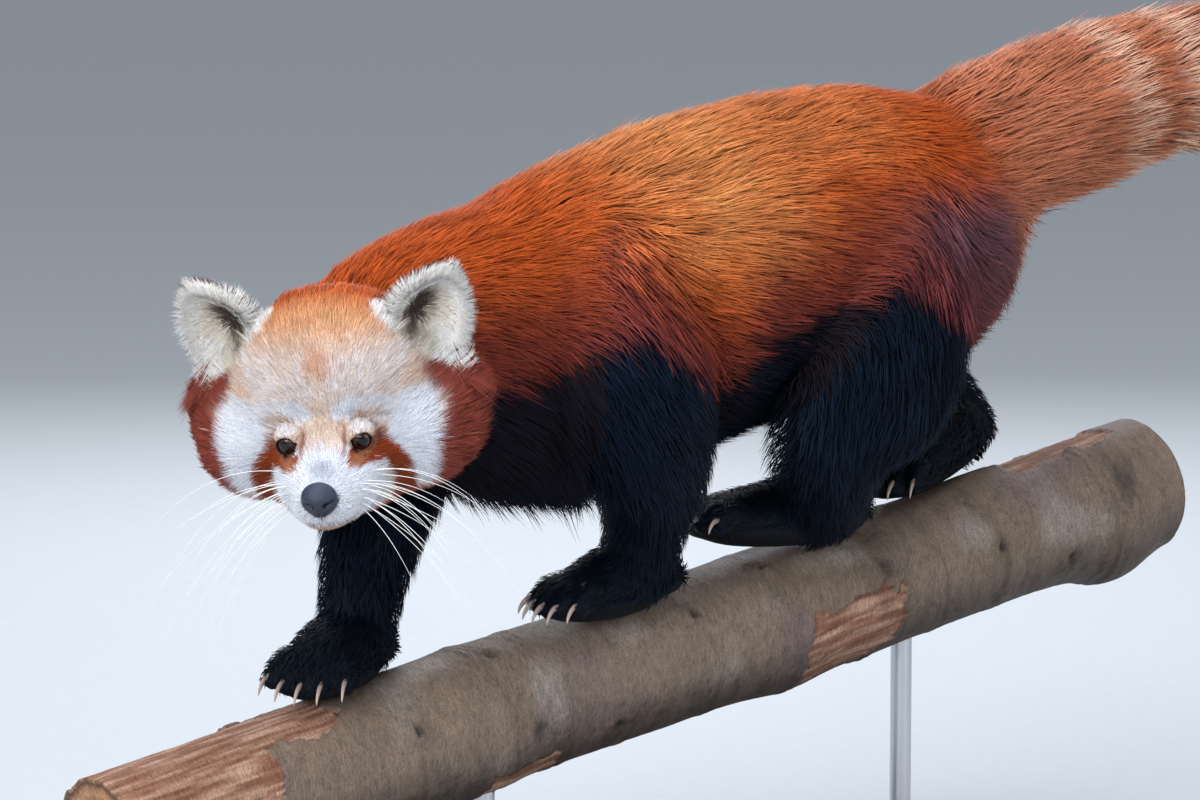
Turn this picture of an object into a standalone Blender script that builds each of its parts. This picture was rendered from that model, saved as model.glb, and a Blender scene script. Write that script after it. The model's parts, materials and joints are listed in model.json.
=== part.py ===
"""A red panda walking down a sloping branch, life size, on a plain display stand.

Units are metres and +Z is up. The animal walks towards -Y and its left side is +X. The origin is on the
floor under the stand. The body is modelled whole from lofted limbs that are melted together, and is then
parted into head, neck, torso, legs, feet and tail with thin cuts. Sizes are those of the coat's outline.
"""

import math

import bmesh
import bpy
import numpy as np
from mathutils import Matrix, Vector
from mathutils.bvhtree import BVHTree

# Driving dimensions of the mount
GAP = 0.0003  # the space that touching pieces keep
BRANCH_RADIUS = 0.0450
BRANCH_FRONT_Y = -0.37
BRANCH_REAR_Y = 0.47
BRANCH_TOP_AT_ORIGIN = 0.222
BRANCH_SLOPE = 0.172
BASE_LENGTH = 0.62
BASE_WIDTH = 0.30
BASE_THICKNESS = 0.018
BASE_CENTRE = (0.0, 0.075)
ROD_RADIUS = 0.007
ROD_FRONT_Y = -0.09
ROD_REAR_Y = 0.25

# The coat: how far each core lies inside the outline, and the locks that reach out to it
CORE_DEPTH = {"trunk": 0.009, "nape": 0.008, "leg": 0.002, "tail": 0.014}
LOCK_THICKNESS = 0.0038
LOCK_SINK = 0.005
BODY_LOCK = (0.082, 0.038)
THIGH_LOCK = (0.056, 0.032)  # length and width
NECK_LOCK = (0.056, 0.029)
TAIL_LOCK = (0.068, 0.036)
RUFF_LOCK = (0.040, 0.024)

# Head frame: x forward along the muzzle, y to the animal's left, z up
HEAD_CENTRE = (0.0486, -0.2374, 0.3745)
HEAD_TURN = math.radians(47.0)  # to the animal's left of straight ahead
HEAD_DIP = math.radians(18.0)
HEAD_ROLL = math.radians(5.0)

# Each station is a centre, half the width across, and half the depth along the second axis
TORSO = [
    ((0.008, -0.120, 0.392), 0.056, 0.078),
    ((0.002, -0.070, 0.394), 0.074, 0.093),
    ((0.0, 0.000, 0.404), 0.083, 0.104),
    ((0.0, 0.080, 0.424), 0.087, 0.104),
    ((0.0, 0.160, 0.437), 0.088, 0.102),
    ((0.0, 0.225, 0.440), 0.082, 0.099),
    ((0.0, 0.275, 0.451), 0.064, 0.084),
    ((0.0, 0.312, 0.470), 0.042, 0.056),
]
NECK = [
    ((0.0, -0.060, 0.405), 0.066, 0.080),
    ((0.004, -0.110, 0.403), 0.063, 0.073),
    ((0.010, -0.150, 0.400), 0.061, 0.066),
    ((0.018, -0.186, 0.393), 0.058, 0.059),
    ((0.026, -0.214, 0.386), 0.052, 0.050),
]
FORELEG_LEFT = [
    ((0.046, -0.035, 0.430), 0.034, 0.052),
    ((0.064, -0.030, 0.385), 0.036, 0.058),
    ((0.064, -0.016, 0.340), 0.034, 0.052),
    ((0.056, -0.002, 0.305), 0.030, 0.042),
    ((0.043, 0.002, 0.275), 0.026, 0.032),
    ((0.032, 0.006, 0.248), 0.024, 0.027),
]
FORELEG_RIGHT = [
    ((-0.046, -0.060, 0.425), 0.034, 0.050),
    ((-0.060, -0.085, 0.372), 0.035, 0.052),
    ((-0.055, -0.118, 0.320), 0.032, 0.044),
    ((-0.040, -0.146, 0.278), 0.030, 0.037),
    ((-0.028, -0.163, 0.246), 0.027, 0.031),
    ((-0.017, -0.176, 0.216), 0.025, 0.027),
]
HINDLEG_LEFT = [
    ((0.040, 0.200, 0.450), 0.042, 0.064),
    ((0.067, 0.180, 0.405), 0.041, 0.066),
    ((0.076, 0.160, 0.360), 0.038, 0.064),
    ((0.070, 0.143, 0.325), 0.033, 0.053),
    ((0.052, 0.148, 0.295), 0.028, 0.041),
    ((0.034, 0.160, 0.272), 0.026, 0.032),
]
HINDLEG_RIGHT = [
    ((-0.038, 0.225, 0.445), 0.040, 0.066),
    ((-0.064, 0.248, 0.405), 0.038, 0.068),
    ((-0.070, 0.272, 0.368), 0.035, 0.060),
    ((-0.062, 0.297, 0.338), 0.031, 0.050),
    ((-0.044, 0.318, 0.318), 0.027, 0.038),
    ((-0.030, 0.328, 0.305), 0.025, 0.031),
]
FOREPAW_LEFT = [
    ((0.026, 0.030, 0.240), 0.018, 0.016),
    ((0.026, 0.010, 0.241), 0.024, 0.024),
    ((0.026, -0.015, 0.237), 0.027, 0.024),
    ((0.026, -0.038, 0.231), 0.026, 0.018),
    ((0.026, -0.050, 0.228), 0.021, 0.013),
]
FOREPAW_RIGHT = [
    ((-0.028, -0.158, 0.208), 0.020, 0.019),
    ((-0.019, -0.177, 0.210), 0.027, 0.026),
    ((-0.008, -0.197, 0.207), 0.031, 0.025),
    ((0.003, -0.216, 0.201), 0.030, 0.020),
    ((0.009, -0.227, 0.197), 0.024, 0.014),
]
HINDFOOT_LEFT = [
    ((0.024, 0.182, 0.271), 0.020, 0.022),
    ((0.021, 0.158, 0.271), 0.026, 0.027),
    ((0.018, 0.122, 0.268), 0.029, 0.023),
    ((0.017, 0.088, 0.268), 0.029, 0.019),
    ((0.017, 0.068, 0.268), 0.023, 0.013),
]
HINDFOOT_RIGHT = [
    ((-0.034, 0.340, 0.303), 0.020, 0.021),
    ((-0.026, 0.318, 0.302), 0.026, 0.027),
    ((-0.014, 0.286, 0.292), 0.029, 0.024),
    ((-0.003, 0.254, 0.283), 0.029, 0.020),
    ((0.004, 0.234, 0.278), 0.023, 0.014),
]
TAIL = [
    ((0.0, 0.250, 0.470), 0.050, 0.056),
    ((0.0, 0.320, 0.492), 0.053, 0.057),
    ((0.0, 0.400, 0.515), 0.054, 0.056),
    ((0.0, 0.470, 0.530), 0.050, 0.050),
    ((-0.004, 0.540, 0.534), 0.050, 0.050),
    ((-0.012, 0.610, 0.526), 0.050, 0.050),
    ((-0.022, 0.675, 0.502), 0.048, 0.048),
    ((-0.030, 0.722, 0.470), 0.040, 0.040),
    ((-0.034, 0.745, 0.444), 0.024, 0.024),
]
TAIL_CUTS = (0.455, 0.600)  # y of the faces between the lengths of tail

# Named parts of the head, each a centre and three radii in the head frame
SKULL_FORMS = {
    "cranium": ((-0.010, 0.0, 0.006), (0.056, 0.066, 0.058)),
    "forehead": ((0.012, 0.0, 0.008), (0.036, 0.050, 0.044)),
    "face": ((0.003, 0.0, -0.018), (0.044, 0.078, 0.043)),
    "bridge": ((0.018, 0.0, 0.001), (0.030, 0.044, 0.036)),
    "jaw": ((0.016, 0.0, -0.042), (0.042, 0.046, 0.026)),
}
PAIRED_FORMS = {
    "cheek": ((0.006, 0.046, -0.024), (0.034, 0.036, 0.036)),
    "ruff": ((-0.018, 0.054, -0.016), (0.034, 0.036, 0.044)),
}
MUZZLE = [
    ((0.016, 0.0, -0.024), 0.038, 0.036),
    ((0.044, 0.0, -0.028), 0.033, 0.029),
    ((0.063, 0.0, -0.032), 0.028, 0.023),
    ((0.073, 0.0, -0.033), 0.021, 0.018),
]
EYE_CENTRE = (0.0425, 0.0215, -0.0065)
EYE_RADIUS = 0.0080
NOSE_CENTRE = (0.0865, 0.0, -0.0245)
NOSE_RADII = (0.0080, 0.0108, 0.0085)
EAR_BASE = (-0.012, 0.054, 0.036)
EAR_WIDTH = 0.054

# Cuts, each a point on the plane and the way it looks
NECK_CUT = ((0.004, -0.100, 0.400), (0.12, -1.0, -0.08))
HEAD_CUT = ((0.021, -0.196, 0.394), (0.30, -0.94, -0.16))
TAIL_LOW_CUT = ((0.0, 0.315, 0.487), (0.0, 0.94, 0.34))

COLOURS = {
    "coat_red": ((0.42, 0.11, 0.03), 0.75),
    "coat_black": ((0.02, 0.018, 0.02), 0.75),
    "coat_white": ((0.80, 0.74, 0.66), 0.75),
    "eye": ((0.02, 0.01, 0.008), 0.1),
    "nose": ((0.03, 0.028, 0.03), 0.4),
    "bark": ((0.25, 0.19, 0.13), 0.85),
    "base": ((0.05, 0.05, 0.055), 0.5),
    "rod": ((0.6, 0.6, 0.62), 0.3),
}


def clear_scene():
    for obj in list(bpy.data.objects):
        bpy.data.objects.remove(obj, do_unlink=True)


def new_collection(name):
    collection = bpy.data.collections.new(name)
    bpy.context.scene.collection.children.link(collection)
    return collection


def add_mesh(name, mesh):
    obj = bpy.data.objects.new(name, mesh)
    PANDA.objects.link(obj)
    return obj


def material(name):
    found = bpy.data.materials.get(name)
    if found:
        return found
    made = bpy.data.materials.new(name)
    made.use_nodes = True
    colour, roughness = COLOURS[name]
    shader = made.node_tree.nodes["Principled BSDF"]
    shader.inputs["Base Color"].default_value = (*colour, 1.0)
    shader.inputs["Roughness"].default_value = roughness
    shader.inputs["Metallic"].default_value = 1.0 if name == "rod" else 0.0
    made.diffuse_color = (*colour, 1.0)
    return made


def paint(obj, name):
    obj.data.materials.clear()
    obj.data.materials.append(material(name))
    return obj


def smooth_path(points, steps):
    """Catmull-Rom values between rows of numbers, steps to each span."""
    rows = np.array(points, float)
    rows = np.vstack([2 * rows[0] - rows[1], rows, 2 * rows[-1] - rows[-2]])
    found = []
    for i in range(1, len(rows) - 2):
        a, b, c, d = rows[i - 1 : i + 3]
        for t in np.linspace(0, 1, steps, endpoint=False):
            found.append(0.5 * (2 * b + (c - a) * t + (2 * a - 5 * b + 4 * c - d) * t**2
                                + (3 * b - a - 3 * c + d) * t**3))
    found.append(rows[-2])
    return np.array(found)


def loft(name, stations, sides=20, steps=4, across=(1.0, 0.0, 0.0)):
    """A closed tube with elliptical sections and round ends through the stations."""
    rows = smooth_path([(*c, a, b) for c, a, b in stations], steps)
    centres, halves = rows[:, :3], rows[:, 3:]
    tangents = np.gradient(centres, axis=0)
    ends = []
    for at, sign in ((0, -1.0), (-1, 1.0)):
        tangent = tangents[at] / np.linalg.norm(tangents[at])
        reach = sign * halves[at].min()
        ends.append([(centres[at] + tangent * reach * math.sin(t), halves[at] * math.cos(t), tangents[at])
                     for t in np.radians((30, 58, 78))])
    rings = [*reversed(ends[0]), *zip(centres, halves, tangents), *ends[1]]
    mesh = bmesh.new()
    made = []
    for centre, (half_a, half_b), tangent in rings:
        forward = Vector(tangent).normalized()
        up = forward.cross(Vector(across)).normalized()
        side = up.cross(forward).normalized()
        ring = []
        for k in range(sides):
            turn = 2 * math.pi * k / sides
            offset = side * half_a * math.cos(turn) + up * half_b * math.sin(turn)
            ring.append(mesh.verts.new(Vector(centre) + offset))
        made.append(ring)
    for low, high in zip(made, made[1:]):
        for k in range(sides):
            mesh.faces.new((low[k], low[(k + 1) % sides], high[(k + 1) % sides], high[k]))
    mesh.faces.new(list(reversed(made[0])))
    mesh.faces.new(made[-1])
    bmesh.ops.recalc_face_normals(mesh, faces=mesh.faces)
    data = bpy.data.meshes.new(name)
    mesh.to_mesh(data)
    mesh.free()
    return add_mesh(name, data)


def inset(stations, depth):
    return [(centre, half_a - depth, half_b - depth) for centre, half_a, half_b in stations]


def ball(name, centre, radii, matrix=None, rings=14, turn=None):
    """An ellipsoid, in the frame of matrix."""
    mesh = bmesh.new()
    bmesh.ops.create_uvsphere(mesh, u_segments=2 * rings, v_segments=rings, radius=1.0)
    place = Matrix.Translation(Vector(centre)) @ (turn or Matrix()) @ Matrix.Diagonal((*radii, 1.0))
    mesh.transform((matrix or Matrix()) @ place)
    data = bpy.data.meshes.new(name)
    mesh.to_mesh(data)
    mesh.free()
    return add_mesh(name, data)


def apply_all(obj):
    """The object's modifiers made part of its mesh."""
    graph = bpy.context.evaluated_depsgraph_get()
    made = bpy.data.meshes.new_from_object(obj.evaluated_get(graph))
    obj.modifiers.clear()
    obj.data = made
    return obj


def join(name, pieces):
    """Several meshes as one object, their shells still loose."""
    mesh = bmesh.new()
    for piece in pieces:
        bpy.context.view_layer.update()
        start = len(mesh.verts)
        mesh.from_mesh(piece.data)
        mesh.verts.ensure_lookup_table()
        bmesh.ops.transform(mesh, matrix=piece.matrix_world, verts=mesh.verts[start:])
        bpy.data.objects.remove(piece, do_unlink=True)
    data = bpy.data.meshes.new(name)
    mesh.to_mesh(data)
    mesh.free()
    return add_mesh(name, data)


def melt(name, pieces, voxel, rounds, triangles):
    """The pieces melted into one soft skin of about that many triangles."""
    obj = join(name, pieces)
    remesh = obj.modifiers.new("melt", "REMESH")
    remesh.mode = "VOXEL"
    remesh.voxel_size = voxel
    soften = obj.modifiers.new("soften", "SMOOTH")
    soften.factor = 0.5
    soften.iterations = rounds
    apply_all(obj)
    thin = obj.modifiers.new("thin", "DECIMATE")
    thin.use_collapse_triangulate = True
    thin.ratio = triangles / (2 * len(obj.data.polygons))
    return apply_all(obj)


def keep_side(obj, point, normal):
    """Cuts obj by a plane, keeps what the normal points to, and closes the cut."""
    mesh = bmesh.new()
    mesh.from_mesh(obj.data)
    bmesh.ops.bisect_plane(mesh, geom=[*mesh.verts, *mesh.edges, *mesh.faces], plane_co=point,
                           plane_no=normal, clear_inner=True, dist=1e-6)
    bmesh.ops.holes_fill(mesh, edges=[e for e in mesh.edges if e.is_boundary])
    bmesh.ops.recalc_face_normals(mesh, faces=mesh.faces)
    bmesh.ops.triangulate(mesh, faces=mesh.faces)
    mesh.to_mesh(obj.data)
    mesh.free()
    return obj


def duplicate(obj, name):
    copy = obj.copy()
    copy.data = obj.data.copy()
    copy.name = name
    PANDA.objects.link(copy)
    return copy


def grown(obj, by=GAP):
    """A copy of obj, its surface moved outwards, for cutting a neighbour clear."""
    copy = duplicate(obj, obj.name + "_grown")
    mesh = bmesh.new()
    mesh.from_mesh(copy.data)
    mesh.normal_update()
    for vert in mesh.verts:
        vert.co += vert.normal * by * 1.15
    mesh.to_mesh(copy.data)
    mesh.free()
    return copy


def boolean(obj, other, operation, solver="EXACT"):
    """Applies a Boolean with another object, which is then removed."""
    cut = obj.modifiers.new(operation.lower(), "BOOLEAN")
    cut.operation = operation
    cut.solver = solver
    cut.object = other
    apply_all(obj)
    bpy.data.objects.remove(other, do_unlink=True)
    return obj


def largest(obj):
    """Keeps the largest closed surface of obj, where surfaces are joined by whole edges."""
    mesh = bmesh.new()
    mesh.from_mesh(obj.data)
    mesh.faces.ensure_lookup_table()
    seen, groups = set(), []
    for first in mesh.faces:
        if first.index in seen:
            continue
        group, todo = [], [first]
        seen.add(first.index)
        while todo:
            face = todo.pop()
            group.append(face)
            for edge in face.edges:
                if len(edge.link_faces) != 2:
                    continue
                for other in edge.link_faces:
                    if other.index not in seen:
                        seen.add(other.index)
                        todo.append(other)
        groups.append(group)
    groups.sort(key=lambda group: sum(face.calc_area() for face in group))
    for group in groups[:-1]:
        bmesh.ops.delete(mesh, geom=group, context="FACES")
    mesh.to_mesh(obj.data)
    mesh.free()
    return obj


def cut_clear(obj, *others):
    """Cuts obj clear of its neighbours by the gap."""
    for other in others:
        boolean(obj, grown(other), "DIFFERENCE")
    return largest(obj)


def branch_top(y):
    return BRANCH_TOP_AT_ORIGIN + BRANCH_SLOPE * y


def branch_axis(y):
    """The branch's centre at y, with the slight bends of grown wood."""
    lean = 1.0 / math.cos(math.atan(BRANCH_SLOPE))
    return Vector((0.003 * math.sin(9.0 * y), y, branch_top(y) - BRANCH_RADIUS * lean))


def make_branch():
    """The cut length of branch, with the swelling of a few knots."""
    knots = {-0.10: 0.002, 0.13: 0.002, 0.42: 0.005}
    stations = []
    for y in np.linspace(BRANCH_FRONT_Y, BRANCH_REAR_Y, 11):
        swell = sum(size * math.exp(-(((y - at) / 0.03) ** 2)) for at, size in knots.items())
        radius = BRANCH_RADIUS + swell
        stations.append((tuple(branch_axis(y) - Vector((0, 0, swell))), radius, radius))
    branch = loft("perch", stations, sides=20, steps=1)
    along = Vector((0, 1, BRANCH_SLOPE)).normalized()
    keep_side(branch, branch_axis(BRANCH_FRONT_Y) + along * 0.001, along)
    keep_side(branch, branch_axis(BRANCH_REAR_Y) - along * 0.001, -along)
    return paint(branch, "bark")


def make_stand():
    """A flat base with rounded corners and two upright rods under the branch."""
    bpy.ops.mesh.primitive_cube_add(size=1.0, location=(*BASE_CENTRE, BASE_THICKNESS / 2))
    base = bpy.context.object
    base.name = "stand_base"
    base.scale = (BASE_WIDTH, BASE_LENGTH, BASE_THICKNESS)
    bpy.ops.object.transform_apply(location=False, rotation=False, scale=True)
    edge = base.modifiers.new("rounded edges", "BEVEL")
    edge.width = 0.004
    edge.segments = 2
    paint(base, "base")
    for name, y in (("stand_rod_front", ROD_FRONT_Y), ("stand_rod_rear", ROD_REAR_Y)):
        low = BASE_THICKNESS + GAP
        high = branch_axis(y).z - BRANCH_RADIUS * 0.2
        bpy.ops.mesh.primitive_cylinder_add(vertices=20, radius=ROD_RADIUS, depth=high - low,
                                            location=(branch_axis(y).x, y, (low + high) / 2))
        rod = bpy.context.object
        rod.name = name
        boolean(rod, grown(bpy.data.objects["perch"]), "DIFFERENCE")
        largest(rod)
        paint(rod, "rod")


def head_matrix():
    """The head frame: x is turned from straight ahead (-Y) to the animal's left, then dipped."""
    turn = Matrix.Rotation(-math.pi / 2 + HEAD_TURN, 4, "Z")
    dip = Matrix.Rotation(HEAD_DIP, 4, "Y")
    roll = Matrix.Rotation(HEAD_ROLL, 4, "X")
    return Matrix.Translation(HEAD_CENTRE) @ turn @ dip @ roll


def surface_point(obj, origin, direction):
    """Where a ray first meets obj from outside, with the surface normal there."""
    mesh = bmesh.new()
    mesh.from_mesh(obj.data)
    tree = BVHTree.FromBMesh(mesh)
    mesh.free()
    direction = Vector(direction).normalized()
    start = Vector(origin) + direction * 0.3
    point, normal, _, _ = tree.ray_cast(start, -direction)
    return point, normal


def union_all(obj, pieces):
    """Joins every piece into obj with one Boolean and keeps the largest closed surface."""
    group = new_collection(obj.name + "_growth")
    for piece in pieces:
        for held in list(piece.users_collection):
            held.objects.unlink(piece)
        group.objects.link(piece)
    weld = obj.modifiers.new("growth", "BOOLEAN")
    weld.operation = "UNION"
    weld.solver = "MANIFOLD"
    weld.operand_type = "COLLECTION"
    weld.collection = group
    apply_all(obj)
    for piece in list(group.objects):
        bpy.data.objects.remove(piece, do_unlink=True)
    bpy.data.collections.remove(group)
    return largest(obj)


def make_head():
    """The skull melted first, then again with the muzzle, so that only the muzzle stays crisp."""
    frame = head_matrix()
    pieces = [ball(name, centre, radii, frame) for name, (centre, radii) in SKULL_FORMS.items()]
    for side in (1, -1):
        for name, ((x, y, z), radii) in PAIRED_FORMS.items():
            pieces.append(ball(name, (x, side * y, z), radii, frame))
    skull = melt("skull", pieces, 0.004, 22, 6000)
    muzzle = loft("muzzle", MUZZLE, across=(0.0, 1.0, 0.0))
    muzzle.matrix_world = frame
    return paint(melt("head", [skull, muzzle], 0.003, 6, 1100), "coat_white")


def ring(name, centre, axis, half_wide, half_high, level, thick, sides=18, around=6):
    """A closed ring of round section, such as the rim of an eyelid."""
    axis = Vector(axis).normalized()
    up = (Vector(level) - axis * axis.dot(Vector(level))).normalized()
    side = up.cross(axis).normalized()
    mesh = bmesh.new()
    rings = []
    for i in range(sides):
        turn = 2 * math.pi * i / sides
        out = (side * math.cos(turn) * half_wide + up * math.sin(turn) * half_high)
        place = Vector(centre) + out
        out.normalize()
        rings.append([mesh.verts.new(place + (out * math.cos(2 * math.pi * k / around)
                                              + axis * math.sin(2 * math.pi * k / around)) * thick)
                      for k in range(around)])
    for i in range(sides):
        low, high = rings[i], rings[(i + 1) % sides]
        for k in range(around):
            mesh.faces.new((low[k], low[(k + 1) % around], high[(k + 1) % around], high[k]))
    bmesh.ops.recalc_face_normals(mesh, faces=mesh.faces)
    data = bpy.data.meshes.new(name)
    mesh.to_mesh(data)
    mesh.free()
    return add_mesh(name, data)


def cut_face(head, eyes, nose):
    """Gives the head its lids, eye sockets, seat of the nose, nostrils and mouth."""
    frame = head_matrix()
    level = frame.to_3x3() @ Vector((0, 0, 1))
    lids = []
    for side in (1, -1):
        centre = frame @ Vector((EYE_CENTRE[0], side * EYE_CENTRE[1], EYE_CENTRE[2]))
        axis = frame.to_3x3() @ Vector((1.0, side * 0.42, 0.05))
        lids.append(ring("lid", centre + axis.normalized() * 0.0040, axis, 0.0072, 0.0064, level, 0.0016, 14, 5))
    union_all(head, lids)
    for eye in eyes:
        boolean(head, grown(eye, 0.00035), "DIFFERENCE")
    boolean(head, grown(nose, 0.00035), "DIFFERENCE")
    lines = [face_line(head, "philtrum", [((0.050, 0.0, z), (1.0, 0.0, 0.0)) for z in (-0.0325, -0.0365, -0.0405)])]
    for side in (1, -1):
        rays = [((0.048, 0.0, -0.0405 - 0.0055 * math.sin(a)), (math.cos(a), side * math.sin(a), 0.0))
                for a in np.radians((0, 20, 42, 64, 82))]
        rays += [((x, 0.0, z), (0.0, side, 0.0)) for x, z in ((0.040, -0.0455), (0.031, -0.0430))]
        lines.append(face_line(head, "lips", rays))
    for line in lines:
        boolean(head, line, "DIFFERENCE")
    return largest(head)


def face_line(head, name, rays):
    """A thin line laid on the head's surface, for cutting a groove: each ray is a start and an aim."""
    frame = head_matrix()
    path = []
    for start, aim in rays:
        point, _ = surface_point(head, frame @ Vector(start), frame.to_3x3() @ Vector(aim))
        path.append(point)
    return tube(name, path, 0.0013)


def make_ear(name, side):
    """A rounded, upright ear with a hollow cup in front."""
    frame = head_matrix()
    splay = Matrix.Rotation(math.radians(-32 * side), 4, "X")
    face = Matrix.Rotation(math.radians(14 * side), 4, "Z")
    place = frame @ Matrix.Translation((EAR_BASE[0], side * EAR_BASE[1], EAR_BASE[2])) @ splay @ face
    ear = ball(name, (0, 0, 0.010), (0.013, EAR_WIDTH / 2, 0.037), place, rings=7)
    cup = ball("cup", (0.012, 0, 0.012), (0.012, EAR_WIDTH / 2 - 0.007, 0.028), place, rings=6)
    boolean(ear, cup, "DIFFERENCE")
    return paint(ear, "coat_white")


def make_eye(name, side):
    eye = ball(name, (EYE_CENTRE[0], side * EYE_CENTRE[1], EYE_CENTRE[2]), (EYE_RADIUS,) * 3,
               head_matrix(), rings=6)
    return paint(eye, "eye")


def make_nose():
    """The bare pad of the nose, with two nostrils."""
    frame = head_matrix()
    nose = ball("nose", NOSE_CENTRE, NOSE_RADII, frame, rings=6)
    for side in (1, -1):
        nostril = ball("nostril", (NOSE_CENTRE[0] + 0.0062, side * 0.0052, NOSE_CENTRE[2] - 0.0005),
                       (0.0035, 0.0022, 0.0020), frame, rings=4)
        boolean(nose, nostril, "DIFFERENCE")
    return paint(nose, "nose")


def horn(name, points, radii, sides=5):
    """A curved point: rings of the given radii along the points, closed by a tip at the last point."""
    mesh = bmesh.new()
    rings = []
    points = [Vector(point) for point in points]
    for i, radius in enumerate(radii):
        forward = (points[i + 1] - points[max(i - 1, 0)]).normalized()
        side = forward.cross(Vector((0, 0, 1))).normalized()
        up = side.cross(forward)
        rings.append([mesh.verts.new(points[i] + (side * math.cos(2 * math.pi * k / sides)
                                                  + up * math.sin(2 * math.pi * k / sides)) * radius)
                      for k in range(sides)])
    tip = mesh.verts.new(points[-1])
    mesh.faces.new(rings[0])
    for low, high in zip(rings, rings[1:]):
        for k in range(sides):
            mesh.faces.new((low[k], low[(k + 1) % sides], high[(k + 1) % sides], high[k]))
    for k in range(sides):
        mesh.faces.new((rings[-1][k], rings[-1][(k + 1) % sides], tip))
    bmesh.ops.recalc_face_normals(mesh, faces=mesh.faces)
    bmesh.ops.triangulate(mesh, faces=mesh.faces)
    data = bpy.data.meshes.new(name)
    mesh.to_mesh(data)
    mesh.free()
    return add_mesh(name, data)


def tube(name, points, radius, sides=4):
    """A thin closed tube through the points."""
    stretched = [points[0], *points, points[-1]]
    mesh = bmesh.new()
    rings = []
    for i, point in enumerate(points):
        forward = (stretched[i + 2] - stretched[i]).normalized()
        side = forward.cross(Vector((0.3, 0.2, 0.9))).normalized()
        up = side.cross(forward)
        rings.append([mesh.verts.new(point + (side * math.cos(2 * math.pi * k / sides)
                                              + up * math.sin(2 * math.pi * k / sides)) * radius)
                      for k in range(sides)])
    mesh.faces.new(rings[0])
    mesh.faces.new(rings[-1])
    for low, high in zip(rings, rings[1:]):
        for k in range(sides):
            mesh.faces.new((low[k], low[(k + 1) % sides], high[(k + 1) % sides], high[k]))
    bmesh.ops.recalc_face_normals(mesh, faces=mesh.faces)
    bmesh.ops.triangulate(mesh, faces=mesh.faces)
    data = bpy.data.meshes.new(name)
    mesh.to_mesh(data)
    mesh.free()
    return add_mesh(name, data)


def claw(root, forward, length):
    """A curved, tapering claw that points down at its tip."""
    forward = Vector(forward).normalized()
    points = [root + forward * length * x + Vector((0, 0, length * z))
              for x, z in ((-0.30, -0.02), (0.15, 0.10), (0.55, 0.0), (0.80, -0.28), (0.90, -0.55))]
    return horn("claw", points, (0.0026, 0.0025, 0.0020, 0.0012))


def make_foot(name, stations, wrist):
    """A foot melted together with its toes and the stub of its limb, and its claws."""
    (end, half, _), (before, _, _) = stations[-1], stations[-2]
    forward = (Vector(end) - Vector(before)).normalized()
    across = forward.cross(Vector((0, 0, 1))).normalized()
    pieces = [loft("sole", stations, sides=16), loft("stub", wrist, sides=16)]
    claws = []
    for k in range(5):
        spread = (k - 2) / 2
        out = across * spread * half * 1.05
        tip = Vector(end) + forward * (0.012 - 0.008 * spread**2) + out + Vector((0, 0, 0.001))
        root = Vector(end) - forward * 0.020 + out * 0.8 + Vector((0, 0, 0.004))
        middle = (root + tip) / 2 + Vector((0, 0, 0.004))
        pieces.append(loft("toe", [(tuple(root), 0.007, 0.009), (tuple(middle), 0.007, 0.009),
                                   (tuple(tip), 0.0062, 0.0075)], sides=10, steps=2))
        claws.append(claw(tip + forward * 0.002 + Vector((0, 0, 0.003)), forward + across * 0.25 * spread, 0.012))
    foot = paint(melt(name, pieces, 0.003, 3, 220), "coat_black")
    return union_all(foot, claws)


def tree_of(obj):
    mesh = bmesh.new()
    mesh.from_mesh(obj.data)
    mesh.transform(obj.matrix_world)
    tree = BVHTree.FromBMesh(mesh)
    mesh.free()
    return tree


def lock_path(tree, root, lie, length, lift, fall=0.0):
    """Centres and outward normals of a lock that follows the surface of tree from root along its lie."""
    path = []
    point = Vector(root)
    for t, height in ((0.0, -LOCK_SINK), (0.30, 0.35 * lift), (0.65, 0.9 * lift), (1.0, lift)):
        place = point + lie * length * t + Vector((0, 0, -fall * t * t))
        near, normal, _, _ = tree.find_nearest(place)
        away = place - near
        if away.length > 0.004 and away.dot(normal) > 0:
            near = near + away * 0.75  # past an edge of the body it stands free
        path.append((near + normal * height, normal))
    return path


def lock(name, path, width, thickness=LOCK_THICKNESS):
    """A flat, tapered, bent lock of hair with a low ridge: three sections and a tip."""
    mesh = bmesh.new()
    rings = []
    for i, (wide, thick) in enumerate(((0.80, 1.0), (1.0, 0.95), (0.72, 0.6))):
        centre, normal = path[i]
        forward = (path[i + 1][0] - path[max(i - 1, 0)][0]).normalized()
        side = forward.cross(normal).normalized()
        up = side.cross(forward).normalized()
        half, tall = side * width * wide / 2, up * thickness * thick
        rings.append([mesh.verts.new(centre + offset)
                      for offset in (half - tall * 0.4, tall * 0.6, -half - tall * 0.4)])
    tip = mesh.verts.new(path[-1][0])
    mesh.faces.new(rings[0])
    for low, high in zip(rings, rings[1:]):
        for a, b, c, d in ((low[0], low[1], high[1], high[0]), (low[1], low[2], high[2], high[1]),
                           (low[2], low[0], high[0], high[2])):
            mesh.faces.new((a, b, c))
            mesh.faces.new((a, c, d))
    for k in range(3):
        mesh.faces.new((rings[-1][k], rings[-1][(k + 1) % 3], tip))
    bmesh.ops.recalc_face_normals(mesh, faces=mesh.faces)
    data = bpy.data.meshes.new(name)
    mesh.to_mesh(data)
    mesh.free()
    return add_mesh(name, data)


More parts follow.
